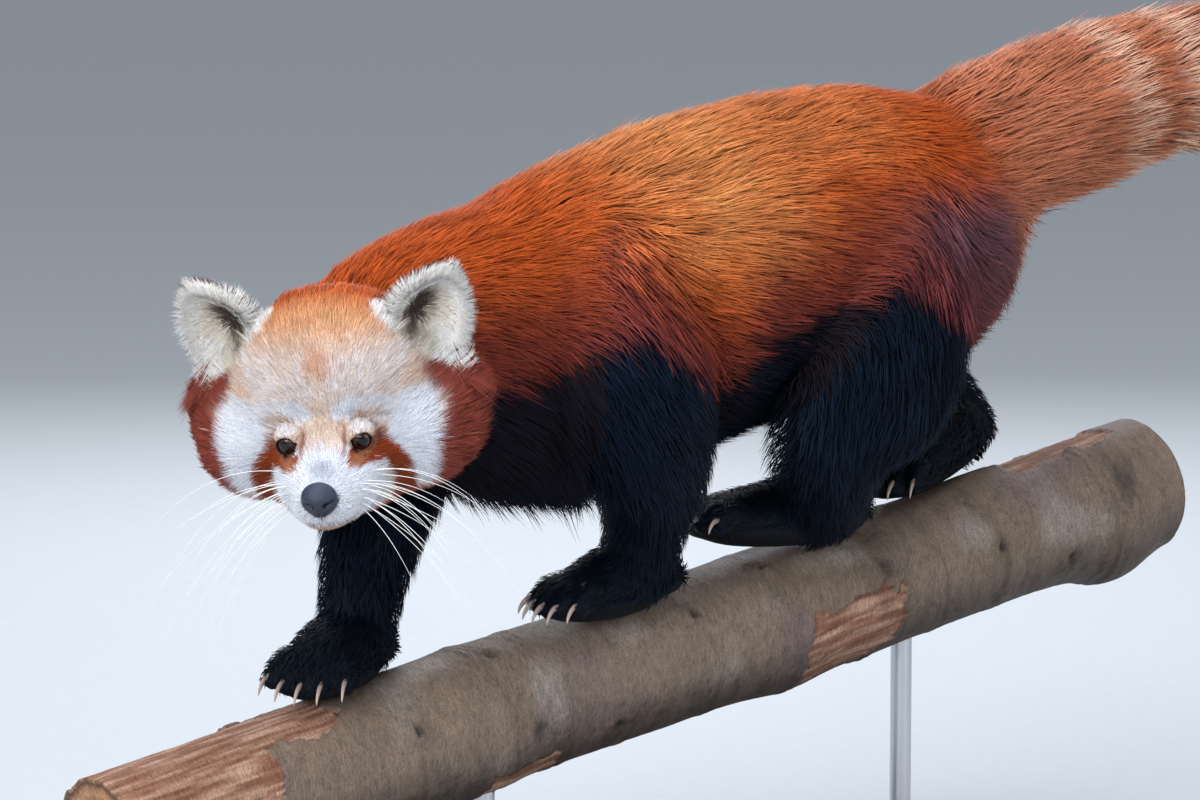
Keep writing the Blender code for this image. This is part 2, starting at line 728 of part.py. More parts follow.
class Coat:
    """Grows locks on the nodes, each on the node below its root and clear of every other node."""

    def __init__(self, nodes):
        self.nodes = {node.name: node for node in nodes}
        self.trees = {name: [tree_of(node)] for name, node in self.nodes.items()}
        self.locks = {name: [] for name in self.nodes}
        self.draw = np.random.default_rng(7)
        self.dropped = 0

    def owner(self, point):
        return min(self.trees, key=lambda name: self.trees[name][0].find_nearest(point)[3])

    def clear(self, owner, piece):
        """Whether the piece, a little fattened, meets no other node and none of its locks."""
        fat = grown(piece, 1.5 * GAP)
        tree = tree_of(fat)
        bpy.data.objects.remove(fat, do_unlink=True)
        return not any(tree.overlap(other) for name, trees in self.trees.items() if name != owner
                       for other in trees)

    def grow(self, surface, root, lie, size, lift, fall=0.0, owner=None):
        """One lock from root; it is made shorter, and at last left out, where it would cross a neighbour."""
        owner = owner or self.owner(root)
        length, width = size
        length *= self.draw.uniform(0.9, 1.12)
        width *= self.draw.uniform(0.92, 1.08)
        for part in (1.0, 0.8, 0.62):
            piece = lock("lock", lock_path(surface, root, lie, length * part, lift, fall), width)
            if self.clear(owner, piece):
                self.locks[owner].append(piece)
                self.trees[owner].append(tree_of(piece))
                return
            bpy.data.objects.remove(piece, do_unlink=True)
        self.dropped += 1

    def weld(self):
        for name, pieces in self.locks.items():
            if pieces:
                union_all(self.nodes[name], pieces)


def section(source, name, start, end, colour):
    """The length of source between two planes, each a point and the way it looks."""
    piece = duplicate(source, name)
    if start:
        point, normal = Vector(start[0]), Vector(start[1]).normalized()
        keep_side(piece, point + normal * GAP, normal)
    if end:
        keep_side(piece, Vector(end[0]), -Vector(end[1]).normalized())
    return paint(largest(piece), colour)


def ring_roots(surface, centre, axis, start, count, turn):
    """Roots around a limb: points of the surface seen from centre, square to axis, with their normals."""
    axis = Vector(axis).normalized()
    side = axis.cross(Vector((0, 0, 1))).normalized()
    up = side.cross(axis)
    for k in range(count):
        angle = start + 2 * math.pi * (k + turn) / count
        aim = side * math.cos(angle) + up * math.sin(angle)
        point, normal, _, _ = surface.ray_cast(Vector(centre) + aim * 0.3, -aim)
        if point is not None:
            yield point, normal, aim


def grow_body(coat, surface):
    """Locks in staggered rows over shoulders, thighs, neck and trunk, lying from the head to the tail."""
    for name, rows in (("hindleg_left", HINDLEG_LEFT), ("hindleg_right", HINDLEG_RIGHT),
                       ("foreleg_left", FORELEG_LEFT), ("foreleg_right", FORELEG_RIGHT)):
        out = 1 if "left" in name else -1
        for i in (1, 2, 3) if "hind" in name else (1,):
            centre, _, deep = rows[i]
            for k in ((-0.55, 0.0, 0.55) if i % 2 else (-0.3, 0.3)):
                start = Vector(centre) + Vector((0, deep * k, 0.006))
                point, normal, _, _ = surface.ray_cast(start + Vector((out * 0.3, 0, 0)), Vector((-out, 0, 0)))
                down = (Vector(rows[i + 1][0]) - Vector(centre)).normalized()
                lie = down + Vector((0, 0.45, 0)) + Vector(coat.draw.normal(0, 0.05, 3))
                coat.grow(surface, point, lie.normalized(), THIGH_LOCK, 0.006, owner=name)
    rows = smooth_path([centre for centre, _, _ in NECK[3:0:-1]] + [(0.0, y, 0.412 + 0.10 * y)
                       for y in (-0.05, 0.02, 0.10, 0.18, 0.26)], 8)
    steps = np.r_[0, np.cumsum(np.linalg.norm(np.diff(rows, axis=0), axis=1))]
    for i, at in enumerate(np.arange(0.004, steps[-1], 0.051)):
        centre = np.array([np.interp(at, steps, rows[:, axis]) for axis in range(3)])
        ahead = np.array([np.interp(at + 0.01, steps, rows[:, axis]) for axis in range(3)])
        axis = Vector(ahead - centre).normalized()
        size = NECK_LOCK if at < 0.10 else BODY_LOCK
        for point, normal, aim in ring_roots(surface, centre, axis, 0.0, 11, 0.5 * (i % 2)):
            if point.z < 0.300:
                continue
            owner = coat.owner(point)
            side = 1 - abs(aim.z)
            hang = 0.25 * side + 0.55 * max(0.0, -aim.z) * side * 2
            if "leg" in owner:
                continue
            lie = axis + Vector((0, 0, -hang)) + Vector(coat.draw.normal(0, 0.06, 3))
            coat.grow(surface, point, lie.normalized(), size, CORE_DEPTH["trunk"] + 0.001, owner=owner)
    for swing, tilts in ((0, (-12, -48)), (36, (-28, -56)), (-36, (-28, -56)), (66, (-14, -40)), (-66, (-14, -40))):
        for tilt in tilts:
            a, b = math.radians(swing), math.radians(tilt)
            aim = Vector((math.sin(a) * math.cos(b), math.cos(a) * math.cos(b), math.sin(b)))
            point, normal, _, _ = surface.ray_cast(Vector((0.0, 0.235, 0.430)) + aim * 0.3, -aim)
            lie = Vector((0.15 * aim.x, 0.45, -0.9)) + Vector(coat.draw.normal(0, 0.05, 3))
            if point.z < 0.37 or coat.owner(point) != "torso":
                continue
            coat.grow(surface, point, lie.normalized(), BODY_LOCK, CORE_DEPTH["trunk"] + 0.001)


def grow_tail(coat, core):
    """Staggered rings of locks along the tail, the last ones past its tip."""
    rows = smooth_path([centre for centre, _, _ in TAIL], 8)
    steps = np.r_[0, np.cumsum(np.linalg.norm(np.diff(rows, axis=0), axis=1))]
    surface = tree_of(core)
    for i, at in enumerate(np.arange(0.085, steps[-1] - 0.020, 0.040)):
        centre = np.array([np.interp(at, steps, rows[:, axis]) for axis in range(3)])
        behind = np.array([np.interp(at - 0.02, steps, rows[:, axis]) for axis in range(3)])
        axis = Vector(centre - behind).normalized()
        for point, normal, aim in ring_roots(surface, centre, axis, 0.0, 5, 0.5 * (i % 2)):
            lie = (axis + Vector(coat.draw.normal(0, 0.05, 3))).normalized()
            coat.grow(surface, point, lie, TAIL_LOCK, CORE_DEPTH["tail"] + 0.001)


def grow_ruff(coat, head):
    """The long hair behind each cheek, swept back and down, and a tuft below each ear."""
    surface = tree_of(head)
    frame = head_matrix()
    turn = frame.to_3x3()
    for side in (1, -1):
        for row, (back, first, last, count) in enumerate(((0.004, -60, 24, 4), (-0.022, -70, 38, 5), (-0.042, -56, 26, 3))):
            for angle in np.radians(np.linspace(first, last, count)):
                aim = turn @ Vector((0.0, side * math.cos(angle), math.sin(angle)))
                point, normal, _, _ = surface.ray_cast(frame @ Vector((back, 0, -0.012)) + aim * 0.3, -aim)
                if point is None:
                    continue
                lie = turn @ Vector((-0.72, side * 0.45 * math.cos(angle), -0.35 + 0.35 * math.sin(angle)))
                coat.grow(surface, point, lie.normalized(), RUFF_LOCK, 0.006, owner="head")


def main():
    branch = make_branch()
    make_stand()

    limbs = {"foreleg_left": (FORELEG_LEFT, FOREPAW_LEFT), "foreleg_right": (FORELEG_RIGHT, FOREPAW_RIGHT),
             "hindleg_left": (HINDLEG_LEFT, HINDFOOT_LEFT), "hindleg_right": (HINDLEG_RIGHT, HINDFOOT_RIGHT)}
    tail_rows = inset(TAIL, CORE_DEPTH["tail"])
    body = melt("body", [loft("trunk", inset(TORSO, CORE_DEPTH["trunk"]), sides=28),
                         loft("nape", inset(NECK, CORE_DEPTH["nape"]), sides=24)]
                + [loft(name, inset(rows, CORE_DEPTH["leg"])) for name, (rows, _) in limbs.items()]
                + [loft("dock", tail_rows[:3], sides=24)], 0.006, 6, 1500)
    surface = tree_of(body)

    nodes = []
    for name, (rows, foot_rows) in limbs.items():
        foot_name = name.replace("foreleg", "forepaw").replace("hindleg", "hindfoot")
        foot = make_foot(foot_name, foot_rows, rows[-2:])
        boolean(foot, grown(branch), "DIFFERENCE")
        largest(foot)
        wide = [(centre, half_a + 0.003, half_b + 0.003) for centre, half_a, half_b in rows[1:]]
        region = loft("region", wide, sides=12, steps=2)
        leg = duplicate(body, name)
        boolean(leg, duplicate(region, "region_copy"), "INTERSECT")
        cut_clear(paint(leg, "coat_black"), foot)
        boolean(body, grown(region, 2 * GAP), "DIFFERENCE")
        bpy.data.objects.remove(region, do_unlink=True)
        nodes += [leg, foot]

    trunk = section(body, "torso", None, NECK_CUT, "coat_red")
    keep_side(trunk, Vector(TAIL_LOW_CUT[0]), -Vector(TAIL_LOW_CUT[1]).normalized())
    neck = section(body, "neck", NECK_CUT, HEAD_CUT, "coat_red")
    bpy.data.objects.remove(body, do_unlink=True)
    nodes += [trunk, neck]

    tail = loft("tail", tail_rows, sides=12, steps=1)
    rows = smooth_path([centre for centre, _, _ in TAIL], 8)
    cuts = [TAIL_LOW_CUT]
    for y in TAIL_CUTS:
        k = int(np.argmin(abs(rows[:, 1] - y)))
        cuts.append((tuple(rows[k]), tuple(rows[k + 1] - rows[k - 1])))
    cuts.append(None)
    for name, start, end in zip(("tail_root", "tail_mid", "tail_tip"), cuts, cuts[1:]):
        nodes.append(section(tail, name, start, end, "coat_red"))

    head = make_head()
    eyes = [make_eye("eye_left", 1), make_eye("eye_right", -1)]
    nose = make_nose()
    cut_face(head, eyes, nose)
    boolean(head, grown(neck), "DIFFERENCE")
    largest(head)
    nodes.append(head)
    for name, side in (("ear_left", 1), ("ear_right", -1)):
        nodes.append(cut_clear(make_ear(name, side), head))

    coat = Coat(nodes)
    grow_ruff(coat, head)
    grow_body(coat, surface)
    grow_tail(coat, tail)
    bpy.data.objects.remove(tail, do_unlink=True)
    print({name: len(pieces) for name, pieces in coat.locks.items() if pieces}, coat.dropped)
    coat.weld()


clear_scene()
PANDA = new_collection("red_panda")
main()
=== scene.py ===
# %% [markdown]
# # A red panda on its branch
# A museum shows an animal like this one at life size: a body under a thick coat, glass eyes, a cut length
# of branch and a plain stand. The solids of that mount are loaded here as a fixed frame, and everything
# that gives it its looks is built round them, in metres and in the same place: the skin, the fur in thin
# locks, the eyes, nose, claws and whiskers, the bark, and at the end the light and the camera.

# %% Load the fixed frame
import json
import math

import bmesh
import bpy
import numpy as np
from mathutils import Matrix, Vector
from mathutils.bvhtree import BVHTree
from mathutils.kdtree import KDTree

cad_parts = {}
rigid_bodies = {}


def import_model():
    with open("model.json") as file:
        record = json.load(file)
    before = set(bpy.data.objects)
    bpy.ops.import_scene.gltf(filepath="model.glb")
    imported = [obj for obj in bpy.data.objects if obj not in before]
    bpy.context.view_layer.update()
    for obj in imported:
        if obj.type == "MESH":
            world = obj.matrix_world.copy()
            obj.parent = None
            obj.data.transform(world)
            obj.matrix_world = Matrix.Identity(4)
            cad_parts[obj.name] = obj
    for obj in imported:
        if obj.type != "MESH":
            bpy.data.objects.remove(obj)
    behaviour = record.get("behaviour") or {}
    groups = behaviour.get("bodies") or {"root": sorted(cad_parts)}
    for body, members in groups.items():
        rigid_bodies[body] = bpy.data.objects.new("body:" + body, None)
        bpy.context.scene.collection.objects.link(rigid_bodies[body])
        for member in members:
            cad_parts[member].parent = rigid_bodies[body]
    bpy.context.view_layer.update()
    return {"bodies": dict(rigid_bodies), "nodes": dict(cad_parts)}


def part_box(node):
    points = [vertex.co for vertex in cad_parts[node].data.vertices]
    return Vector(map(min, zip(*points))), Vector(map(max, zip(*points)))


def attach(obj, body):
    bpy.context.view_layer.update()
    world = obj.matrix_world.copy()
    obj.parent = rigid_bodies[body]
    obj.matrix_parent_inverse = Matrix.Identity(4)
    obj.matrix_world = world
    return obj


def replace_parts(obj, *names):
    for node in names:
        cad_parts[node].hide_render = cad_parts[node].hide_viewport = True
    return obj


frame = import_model()
BODY = next(iter(frame["bodies"]))

# %% [markdown]
# ## The measures of the mount
# These are the stations that the solids were lofted through: a centre, half the width and half the depth
# of the coat's outline. The skin uses the same ones, each taken in by the depth of the coat, so that the
# tips of the hair end where the solids do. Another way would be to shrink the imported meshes, but they are
# coarse and already parted, and a skin needs to be whole.

# %% Stations of the body and the branch
TORSO = [((0.008, -0.120, 0.392), 0.056, 0.078), ((0.002, -0.070, 0.394), 0.074, 0.093), ((0.0, 0.000, 0.404), 0.083, 0.104),
         ((0.0, 0.080, 0.424), 0.087, 0.104), ((0.0, 0.160, 0.437), 0.088, 0.102), ((0.0, 0.225, 0.440), 0.082, 0.099),
         ((0.0, 0.275, 0.451), 0.064, 0.084), ((0.0, 0.312, 0.470), 0.042, 0.056)]
NECK = [((0.0, -0.060, 0.405), 0.066, 0.080), ((0.004, -0.110, 0.403), 0.063, 0.073), ((0.010, -0.150, 0.400), 0.061, 0.066),
        ((0.018, -0.186, 0.393), 0.058, 0.059), ((0.026, -0.214, 0.386), 0.052, 0.050)]
LEGS = {
    "foreleg_left": [((0.046, -0.035, 0.430), 0.034, 0.052), ((0.064, -0.030, 0.385), 0.036, 0.058),
                     ((0.064, -0.016, 0.340), 0.034, 0.052), ((0.056, -0.002, 0.305), 0.030, 0.042),
                     ((0.043, 0.002, 0.275), 0.026, 0.032), ((0.032, 0.006, 0.248), 0.024, 0.027)],
    "foreleg_right": [((-0.046, -0.060, 0.425), 0.034, 0.050), ((-0.060, -0.085, 0.372), 0.035, 0.052),
                      ((-0.055, -0.118, 0.320), 0.032, 0.044), ((-0.040, -0.146, 0.278), 0.030, 0.037),
                      ((-0.028, -0.163, 0.246), 0.027, 0.031), ((-0.017, -0.176, 0.216), 0.025, 0.027)],
    "hindleg_left": [((0.040, 0.200, 0.450), 0.042, 0.064), ((0.067, 0.180, 0.405), 0.041, 0.066),
                     ((0.076, 0.160, 0.360), 0.038, 0.064), ((0.070, 0.143, 0.325), 0.033, 0.053),
                     ((0.052, 0.148, 0.295), 0.028, 0.041), ((0.034, 0.160, 0.272), 0.026, 0.032)],
    "hindleg_right": [((-0.038, 0.225, 0.445), 0.040, 0.066), ((-0.064, 0.248, 0.405), 0.038, 0.068),
                      ((-0.070, 0.272, 0.368), 0.035, 0.060), ((-0.062, 0.297, 0.338), 0.031, 0.050),
                      ((-0.044, 0.318, 0.318), 0.027, 0.038), ((-0.030, 0.328, 0.305), 0.025, 0.031)],
}
FEET = {
    "forepaw_left": [((0.026, 0.030, 0.240), 0.018, 0.016), ((0.026, 0.010, 0.241), 0.024, 0.024),
                     ((0.026, -0.015, 0.237), 0.027, 0.024), ((0.026, -0.038, 0.231), 0.026, 0.018),
                     ((0.026, -0.050, 0.228), 0.021, 0.013)],
    "forepaw_right": [((-0.028, -0.158, 0.208), 0.020, 0.019), ((-0.019, -0.177, 0.210), 0.027, 0.026),
                      ((-0.008, -0.197, 0.207), 0.031, 0.025), ((0.003, -0.216, 0.201), 0.030, 0.020),
                      ((0.009, -0.227, 0.197), 0.024, 0.014)],
    "hindfoot_left": [((0.024, 0.182, 0.271), 0.020, 0.022), ((0.021, 0.158, 0.271), 0.026, 0.027),
                      ((0.018, 0.122, 0.268), 0.029, 0.023), ((0.017, 0.088, 0.268), 0.029, 0.019),
                      ((0.017, 0.068, 0.268), 0.023, 0.013)],
    "hindfoot_right": [((-0.034, 0.340, 0.303), 0.020, 0.021), ((-0.026, 0.318, 0.302), 0.026, 0.027),
                       ((-0.014, 0.286, 0.292), 0.029, 0.024), ((-0.003, 0.254, 0.283), 0.029, 0.020),
                       ((0.004, 0.234, 0.278), 0.023, 0.014)],
}
TAIL = [((0.0, 0.250, 0.470), 0.050, 0.056), ((0.0, 0.320, 0.492), 0.053, 0.057), ((0.0, 0.400, 0.515), 0.054, 0.056),
        ((0.0, 0.470, 0.530), 0.050, 0.050), ((-0.004, 0.540, 0.534), 0.050, 0.050), ((-0.012, 0.610, 0.526), 0.050, 0.050),
        ((-0.022, 0.675, 0.502), 0.048, 0.048), ((-0.030, 0.722, 0.470), 0.040, 0.040), ((-0.034, 0.745, 0.444), 0.024, 0.024)]
BRANCH_RADIUS, BRANCH_FRONT_Y, BRANCH_REAR_Y = 0.0450, -0.37, 0.47
BRANCH_TOP_AT_ORIGIN, BRANCH_SLOPE = 0.222, 0.172


def branch_axis(y):
    """The branch's centre line at y, with the slight bends of grown wood."""
    lean = 1.0 / math.cos(math.atan(BRANCH_SLOPE))
    y = np.asarray(y, float)
    return np.stack([0.003 * np.sin(9.0 * y), y, BRANCH_TOP_AT_ORIGIN + BRANCH_SLOPE * y - BRANCH_RADIUS * lean], -1)


print("stations:", len(TORSO) + len(NECK) + len(TAIL) + sum(map(len, LEGS.values())) + sum(map(len, FEET.values())))

# %% [markdown]
# The head has a frame of its own, x forward along the muzzle, y to the animal's left and z up, because a
# face is easiest to place when it looks straight ahead. One matrix turns it into the pose.

# %% Measures of the head
HEAD_CENTRE = (0.0486, -0.2374, 0.3745)
HEAD = (Matrix.Translation(HEAD_CENTRE) @ Matrix.Rotation(-math.pi / 2 + math.radians(47.0), 4, "Z")
        @ Matrix.Rotation(math.radians(18.0), 4, "Y") @ Matrix.Rotation(math.radians(5.0), 4, "X"))
HEAD_TURN = np.array(HEAD.to_3x3())
SKULL = [((-0.010, 0.0, 0.006), (0.056, 0.066, 0.058)), ((0.012, 0.0, 0.008), (0.036, 0.050, 0.044)),
         ((0.003, 0.0, -0.018), (0.044, 0.078, 0.043)), ((0.018, 0.0, 0.001), (0.030, 0.044, 0.036)),
         ((0.016, 0.0, -0.042), (0.042, 0.046, 0.026))]
SKULL_PAIRS = [((0.006, 0.046, -0.024), (0.034, 0.036, 0.036)), ((-0.018, 0.054, -0.016), (0.034, 0.036, 0.044))]
MUZZLE = [((0.016, 0.0, -0.024), 0.038, 0.036), ((0.044, 0.0, -0.028), 0.033, 0.029),
          ((0.063, 0.0, -0.032), 0.028, 0.023), ((0.073, 0.0, -0.033), 0.021, 0.018)]
EYE_CENTRE, EYE_RADIUS, EYE_GAZE = np.array((0.0425, 0.0207, -0.0075)), 0.0080, (1.0, 0.26, 0.02)
NOSE_CENTRE, NOSE_RADII = np.array((0.0865, 0.0, -0.0258)), (0.0080, 0.0108, 0.0102)
EAR_BASE, EAR_HALF_WIDTH = (-0.012, 0.054, 0.036), 0.027


def head_frame(points):
    """Points of the mount in the head's own frame."""
    return (np.asarray(points, float) - np.array(HEAD_CENTRE)) @ HEAD_TURN


def ear_matrix(side):
    """The frame of an ear: x looks out of the cup, z points up the ear."""
    return (HEAD @ Matrix.Translation((EAR_BASE[0], side * EAR_BASE[1], EAR_BASE[2]))
            @ Matrix.Rotation(math.radians(-32 * side), 4, "X") @ Matrix.Rotation(math.radians(14 * side), 4, "Z"))


def into(matrix, points):
    """Points of the mount in the frame of a matrix."""
    inverse = np.array(matrix.inverted())
    return np.asarray(points, float) @ inverse[:3, :3].T + inverse[:3, 3]


def eye_reach(own):
    """How far places of the head's frame are from the nearer eye's gaze, 1 at the outer edge of the lids."""
    gaze, up = unit(np.array(EYE_GAZE)), np.array((0.0, 0.0, 1.0))
    offset = np.c_[own[:, 0], np.abs(own[:, 1]), own[:, 2]] - EYE_CENTRE
    out = unit(np.cross(up, gaze))
    return np.where(offset @ gaze > 0, np.hypot(offset @ out / 0.0074, offset @ up / 0.0060), 9.0)


print("the head looks", np.round(HEAD_TURN[:, 0], 2).tolist())

# %% [markdown]
# ## Small tools
# Three things are needed again and again: a colour given as a hex value and turned to linear light, a node
# with its settings and links in one line, and a mesh object from arrays of numbers.


# %% Colours, nodes and meshes
def linear(code):
    """An sRGB hex colour as linear red, green and blue."""
    values = np.array([int(code[i : i + 2], 16) for i in (1, 3, 5)]) / 255.0
    return np.where(values <= 0.04045, values / 12.92, ((values + 0.055) / 1.055) ** 2.4)


def add(tree, kind, settings=None, **inputs):
    """A node with its settings, and its inputs as numbers or as sockets to link from."""
    node = tree.nodes.new(kind)
    for name, value in (settings or {}).items():
        setattr(node, name, value)
    for name, value in inputs.items():
        socket = node.inputs[int(name[1:])] if name[0] == "i" and name[1:].isdigit() else node.inputs[name.replace("_", " ")]
        if isinstance(value, bpy.types.NodeSocket):
            tree.links.new(value, socket)
        else:
            socket.default_value = value
    return node


def finish_named(name):
    """A new material with an empty tree, its shader and its output."""
    made = bpy.data.materials.new(name)
    made.use_nodes = True
    tree = made.node_tree
    tree.nodes.clear()
    shader = add(tree, "ShaderNodeBsdfPrincipled")
    add(tree, "ShaderNodeOutputMaterial", Surface=shader.outputs["BSDF"])
    return made, tree, shader


def mesh_object(name, points, triangles, smooth=True):
    """A mesh object at the origin from arrays of points and triangles."""
    mesh = bpy.data.meshes.new(name)
    points, triangles = np.asarray(points, np.float32), np.asarray(triangles, np.int32)
    mesh.vertices.add(len(points))
    mesh.vertices.foreach_set("co", points.ravel())
    mesh.loops.add(triangles.size)
    mesh.loops.foreach_set("vertex_index", triangles.ravel())
    mesh.polygons.add(len(triangles))
    mesh.polygons.foreach_set("loop_start", np.arange(0, triangles.size, triangles.shape[1], dtype=np.int32))
    mesh.update(calc_edges=True)
    mesh.polygons.foreach_set("use_smooth", np.full(len(triangles), smooth))
    obj = bpy.data.objects.new(name, mesh)
    bpy.context.scene.collection.objects.link(obj)
    return obj


def colour_points(obj, name, colours):
    """A colour for each point of the mesh, kept as an attribute that the material reads."""
    layer = obj.data.color_attributes.new(name, "FLOAT_COLOR", "POINT")
    layer.data.foreach_set("color", np.c_[colours, np.ones(len(colours))].astype(np.float32).ravel())


def noise(points, size, seed=0):
    """Smooth noise from -1 to 1 whose bumps are about size metres across."""
    scaled = np.asarray(points, float) / size
    cell = np.floor(scaled).astype(np.int64)
    part = scaled - cell
    part = part * part * (3 - 2 * part)
    total = np.zeros(len(scaled))
    for dx in (0, 1):
        for dy in (0, 1):
            for dz in (0, 1):
                key = (cell[:, 0] + dx) * 73856093 ^ (cell[:, 1] + dy) * 19349663 ^ (cell[:, 2] + dz) * 83492791 ^ (seed + 1) * 2654435761
                key = (key ^ (key >> 13)) * 1274126177
                value = ((key ^ (key >> 16)) & 0xFFFF) / 32767.5 - 1.0
                weight = (part[:, 0] if dx else 1 - part[:, 0]) * (part[:, 1] if dy else 1 - part[:, 1]) * (part[:, 2] if dz else 1 - part[:, 2])
                total += value * weight
    return total


def step(low, high, value):
    """A smooth step from 0 at low to 1 at high; low may be the larger."""
    t = np.clip((np.asarray(value, float) - low) / (high - low), 0, 1)
    return t * t * (3 - 2 * t)


def unit(vectors):
    return vectors / np.maximum(np.linalg.norm(vectors, axis=-1, keepdims=True), 1e-12)


def numbers(mesh):
    """Points, normals and triangles of a mesh."""
    points = np.empty(len(mesh.vertices) * 3, np.float32)
    mesh.vertices.foreach_get("co", points)
    normals = np.empty(len(mesh.vertices) * 3, np.float32)
    mesh.vertex_normals.foreach_get("vector", normals)
    mesh.calc_loop_triangles()
    triangles = np.empty(len(mesh.loop_triangles) * 3, np.int32)
    mesh.loop_triangles.foreach_get("vertices", triangles)
    return points.reshape(-1, 3).astype(float), normals.reshape(-1, 3).astype(float), triangles.reshape(-1, 3)


print("rust in linear light:", np.round(linear("#b1552b"), 3).tolist())

# %% [markdown]
# ## The skin
# Under the fur the real animal has one skin from nose to tail, with no seam. It could be sculpted, but a
# body whose limbs are plain tubes is quicker to get right as lofts and balls that a voxel remesh melts
# together. The skin lies inside the outline by the depth of the coat: about 10 mm on the trunk, 16 mm on
# the tail and only 2 mm on the muzzle.

# %% Lofts, balls and melting
COAT_DEPTH = {"trunk": 0.010, "neck": 0.009, "leg": 0.0065, "foot": 0.0030, "skull": 0.0050, "muzzle": 0.0020}
TAIL_DEPTH = (0.008, 0.011, 0.014, 0.015, 0.015, 0.015, 0.014, 0.012, 0.009)


def smooth_path(points, steps):
    """Catmull-Rom values between rows of numbers, steps to each span."""
    rows = np.array(points, float)
    rows = np.vstack([2 * rows[0] - rows[1], rows, 2 * rows[-1] - rows[-2]])
    found = []
    for i in range(1, len(rows) - 2):
        a, b, c, d = rows[i - 1 : i + 3]
        for t in np.linspace(0, 1, steps, endpoint=False):
            found.append(0.5 * (2 * b + (c - a) * t + (2 * a - 5 * b + 4 * c - d) * t**2 + (3 * b - a - 3 * c + d) * t**3))
    found.append(rows[-2])
    return np.array(found)


def loft(stations, depth=0.0, sides=24, steps=4, across=(1.0, 0.0, 0.0), matrix=None):
    """A closed tube with elliptical sections and round ends, taken in by depth."""
    rows = smooth_path([(*c, a - depth, b - depth) for c, a, b in stations], steps)
    centres, halves = rows[:, :3], rows[:, 3:]
    tangents = unit(np.gradient(centres, axis=0))
    rings = [(c, h, t) for c, h, t in zip(centres, halves, tangents)]
    for at, sign in ((0, -1.0), (-1, 1.0)):
        caps = [(centres[at] + tangents[at] * sign * halves[at].min() * math.sin(t), halves[at] * math.cos(t), tangents[at])
                for t in np.radians((30, 58, 78))]
        rings = [*reversed(caps), *rings] if at == 0 else [*rings, *caps]
    turn = 2 * math.pi * np.arange(sides) / sides
    points, quads = [], []
    for centre, half, tangent in rings:
        up = unit(np.cross(tangent, across))
        side = np.cross(up, tangent)
        points.append(centre + np.outer(np.cos(turn) * half[0], side) + np.outer(np.sin(turn) * half[1], up))
    points = np.concatenate(points)
    k = np.arange(sides)
    for i in range(len(rings) - 1):
        low, high = i * sides, (i + 1) * sides
        quads.append(np.stack([low + k, low + (k + 1) % sides, high + (k + 1) % sides, high + k], 1))
    mesh = bmesh.new()
    verts = [mesh.verts.new(p) for p in (points if matrix is None else [matrix @ Vector(p) for p in points])]
    for quad in np.concatenate(quads):
        mesh.faces.new([verts[i] for i in quad])
    mesh.faces.new(list(reversed(verts[:sides])))
    mesh.faces.new(verts[-sides:])
    bmesh.ops.recalc_face_normals(mesh, faces=mesh.faces)
    return mesh


def ball(centre, radii, matrix=None, rings=16):
    """An ellipsoid in the frame of a matrix."""
    mesh = bmesh.new()
    bmesh.ops.create_uvsphere(mesh, u_segments=2 * rings, v_segments=rings, radius=1.0)
    mesh.transform((matrix or Matrix()) @ Matrix.Translation(Vector(centre)) @ Matrix.Diagonal((*radii, 1.0)))
    return mesh


def object_of(name, meshes):
    """Several meshes as one object, their shells still loose."""
    whole = bmesh.new()
    for mesh in meshes:
        data = bpy.data.meshes.new("piece")
        mesh.to_mesh(data)
        mesh.free()
        whole.from_mesh(data)
        bpy.data.meshes.remove(data)
    data = bpy.data.meshes.new(name)
    whole.to_mesh(data)
    whole.free()
    obj = bpy.data.objects.new(name, data)
    bpy.context.scene.collection.objects.link(obj)
    return obj


def settle(obj):
    """Makes the object's modifiers part of its mesh."""
    made = bpy.data.meshes.new_from_object(obj.evaluated_get(bpy.context.evaluated_depsgraph_get()))
    obj.modifiers.clear()
    obj.data = made
    return obj


def melt(obj, voxel, rounds):
    """Melts the object's shells into one and softens it."""
    remesh = obj.modifiers.new("melt", "REMESH")
    remesh.mode, remesh.voxel_size = "VOXEL", voxel
    soften = obj.modifiers.new("soften", "SMOOTH")
    soften.factor, soften.iterations = 0.5, rounds
    return settle(obj)


def boolean(obj, others, operation):
    """One Boolean with several objects, which are then removed."""
    group = bpy.data.collections.new("operands")
    bpy.context.scene.collection.children.link(group)
    for other in others:
        bpy.context.scene.collection.objects.unlink(other)
        group.objects.link(other)
    cut = obj.modifiers.new("cut", "BOOLEAN")
    cut.operation, cut.solver, cut.operand_type, cut.collection = operation, "MANIFOLD", "COLLECTION", group
    settle(obj)
    for other in list(group.objects):
        bpy.data.objects.remove(other, do_unlink=True)
    bpy.data.collections.remove(group)
    return obj


print("coat depths in mm:", {name: depth * 1000 for name, depth in COAT_DEPTH.items()})

# %% [markdown]
# The trunk, neck, legs and tail melt in one go at 3.5 mm. The feet are melted finer, each from its sole,
# five toes and the end of its leg, because toes are only a finger wide.

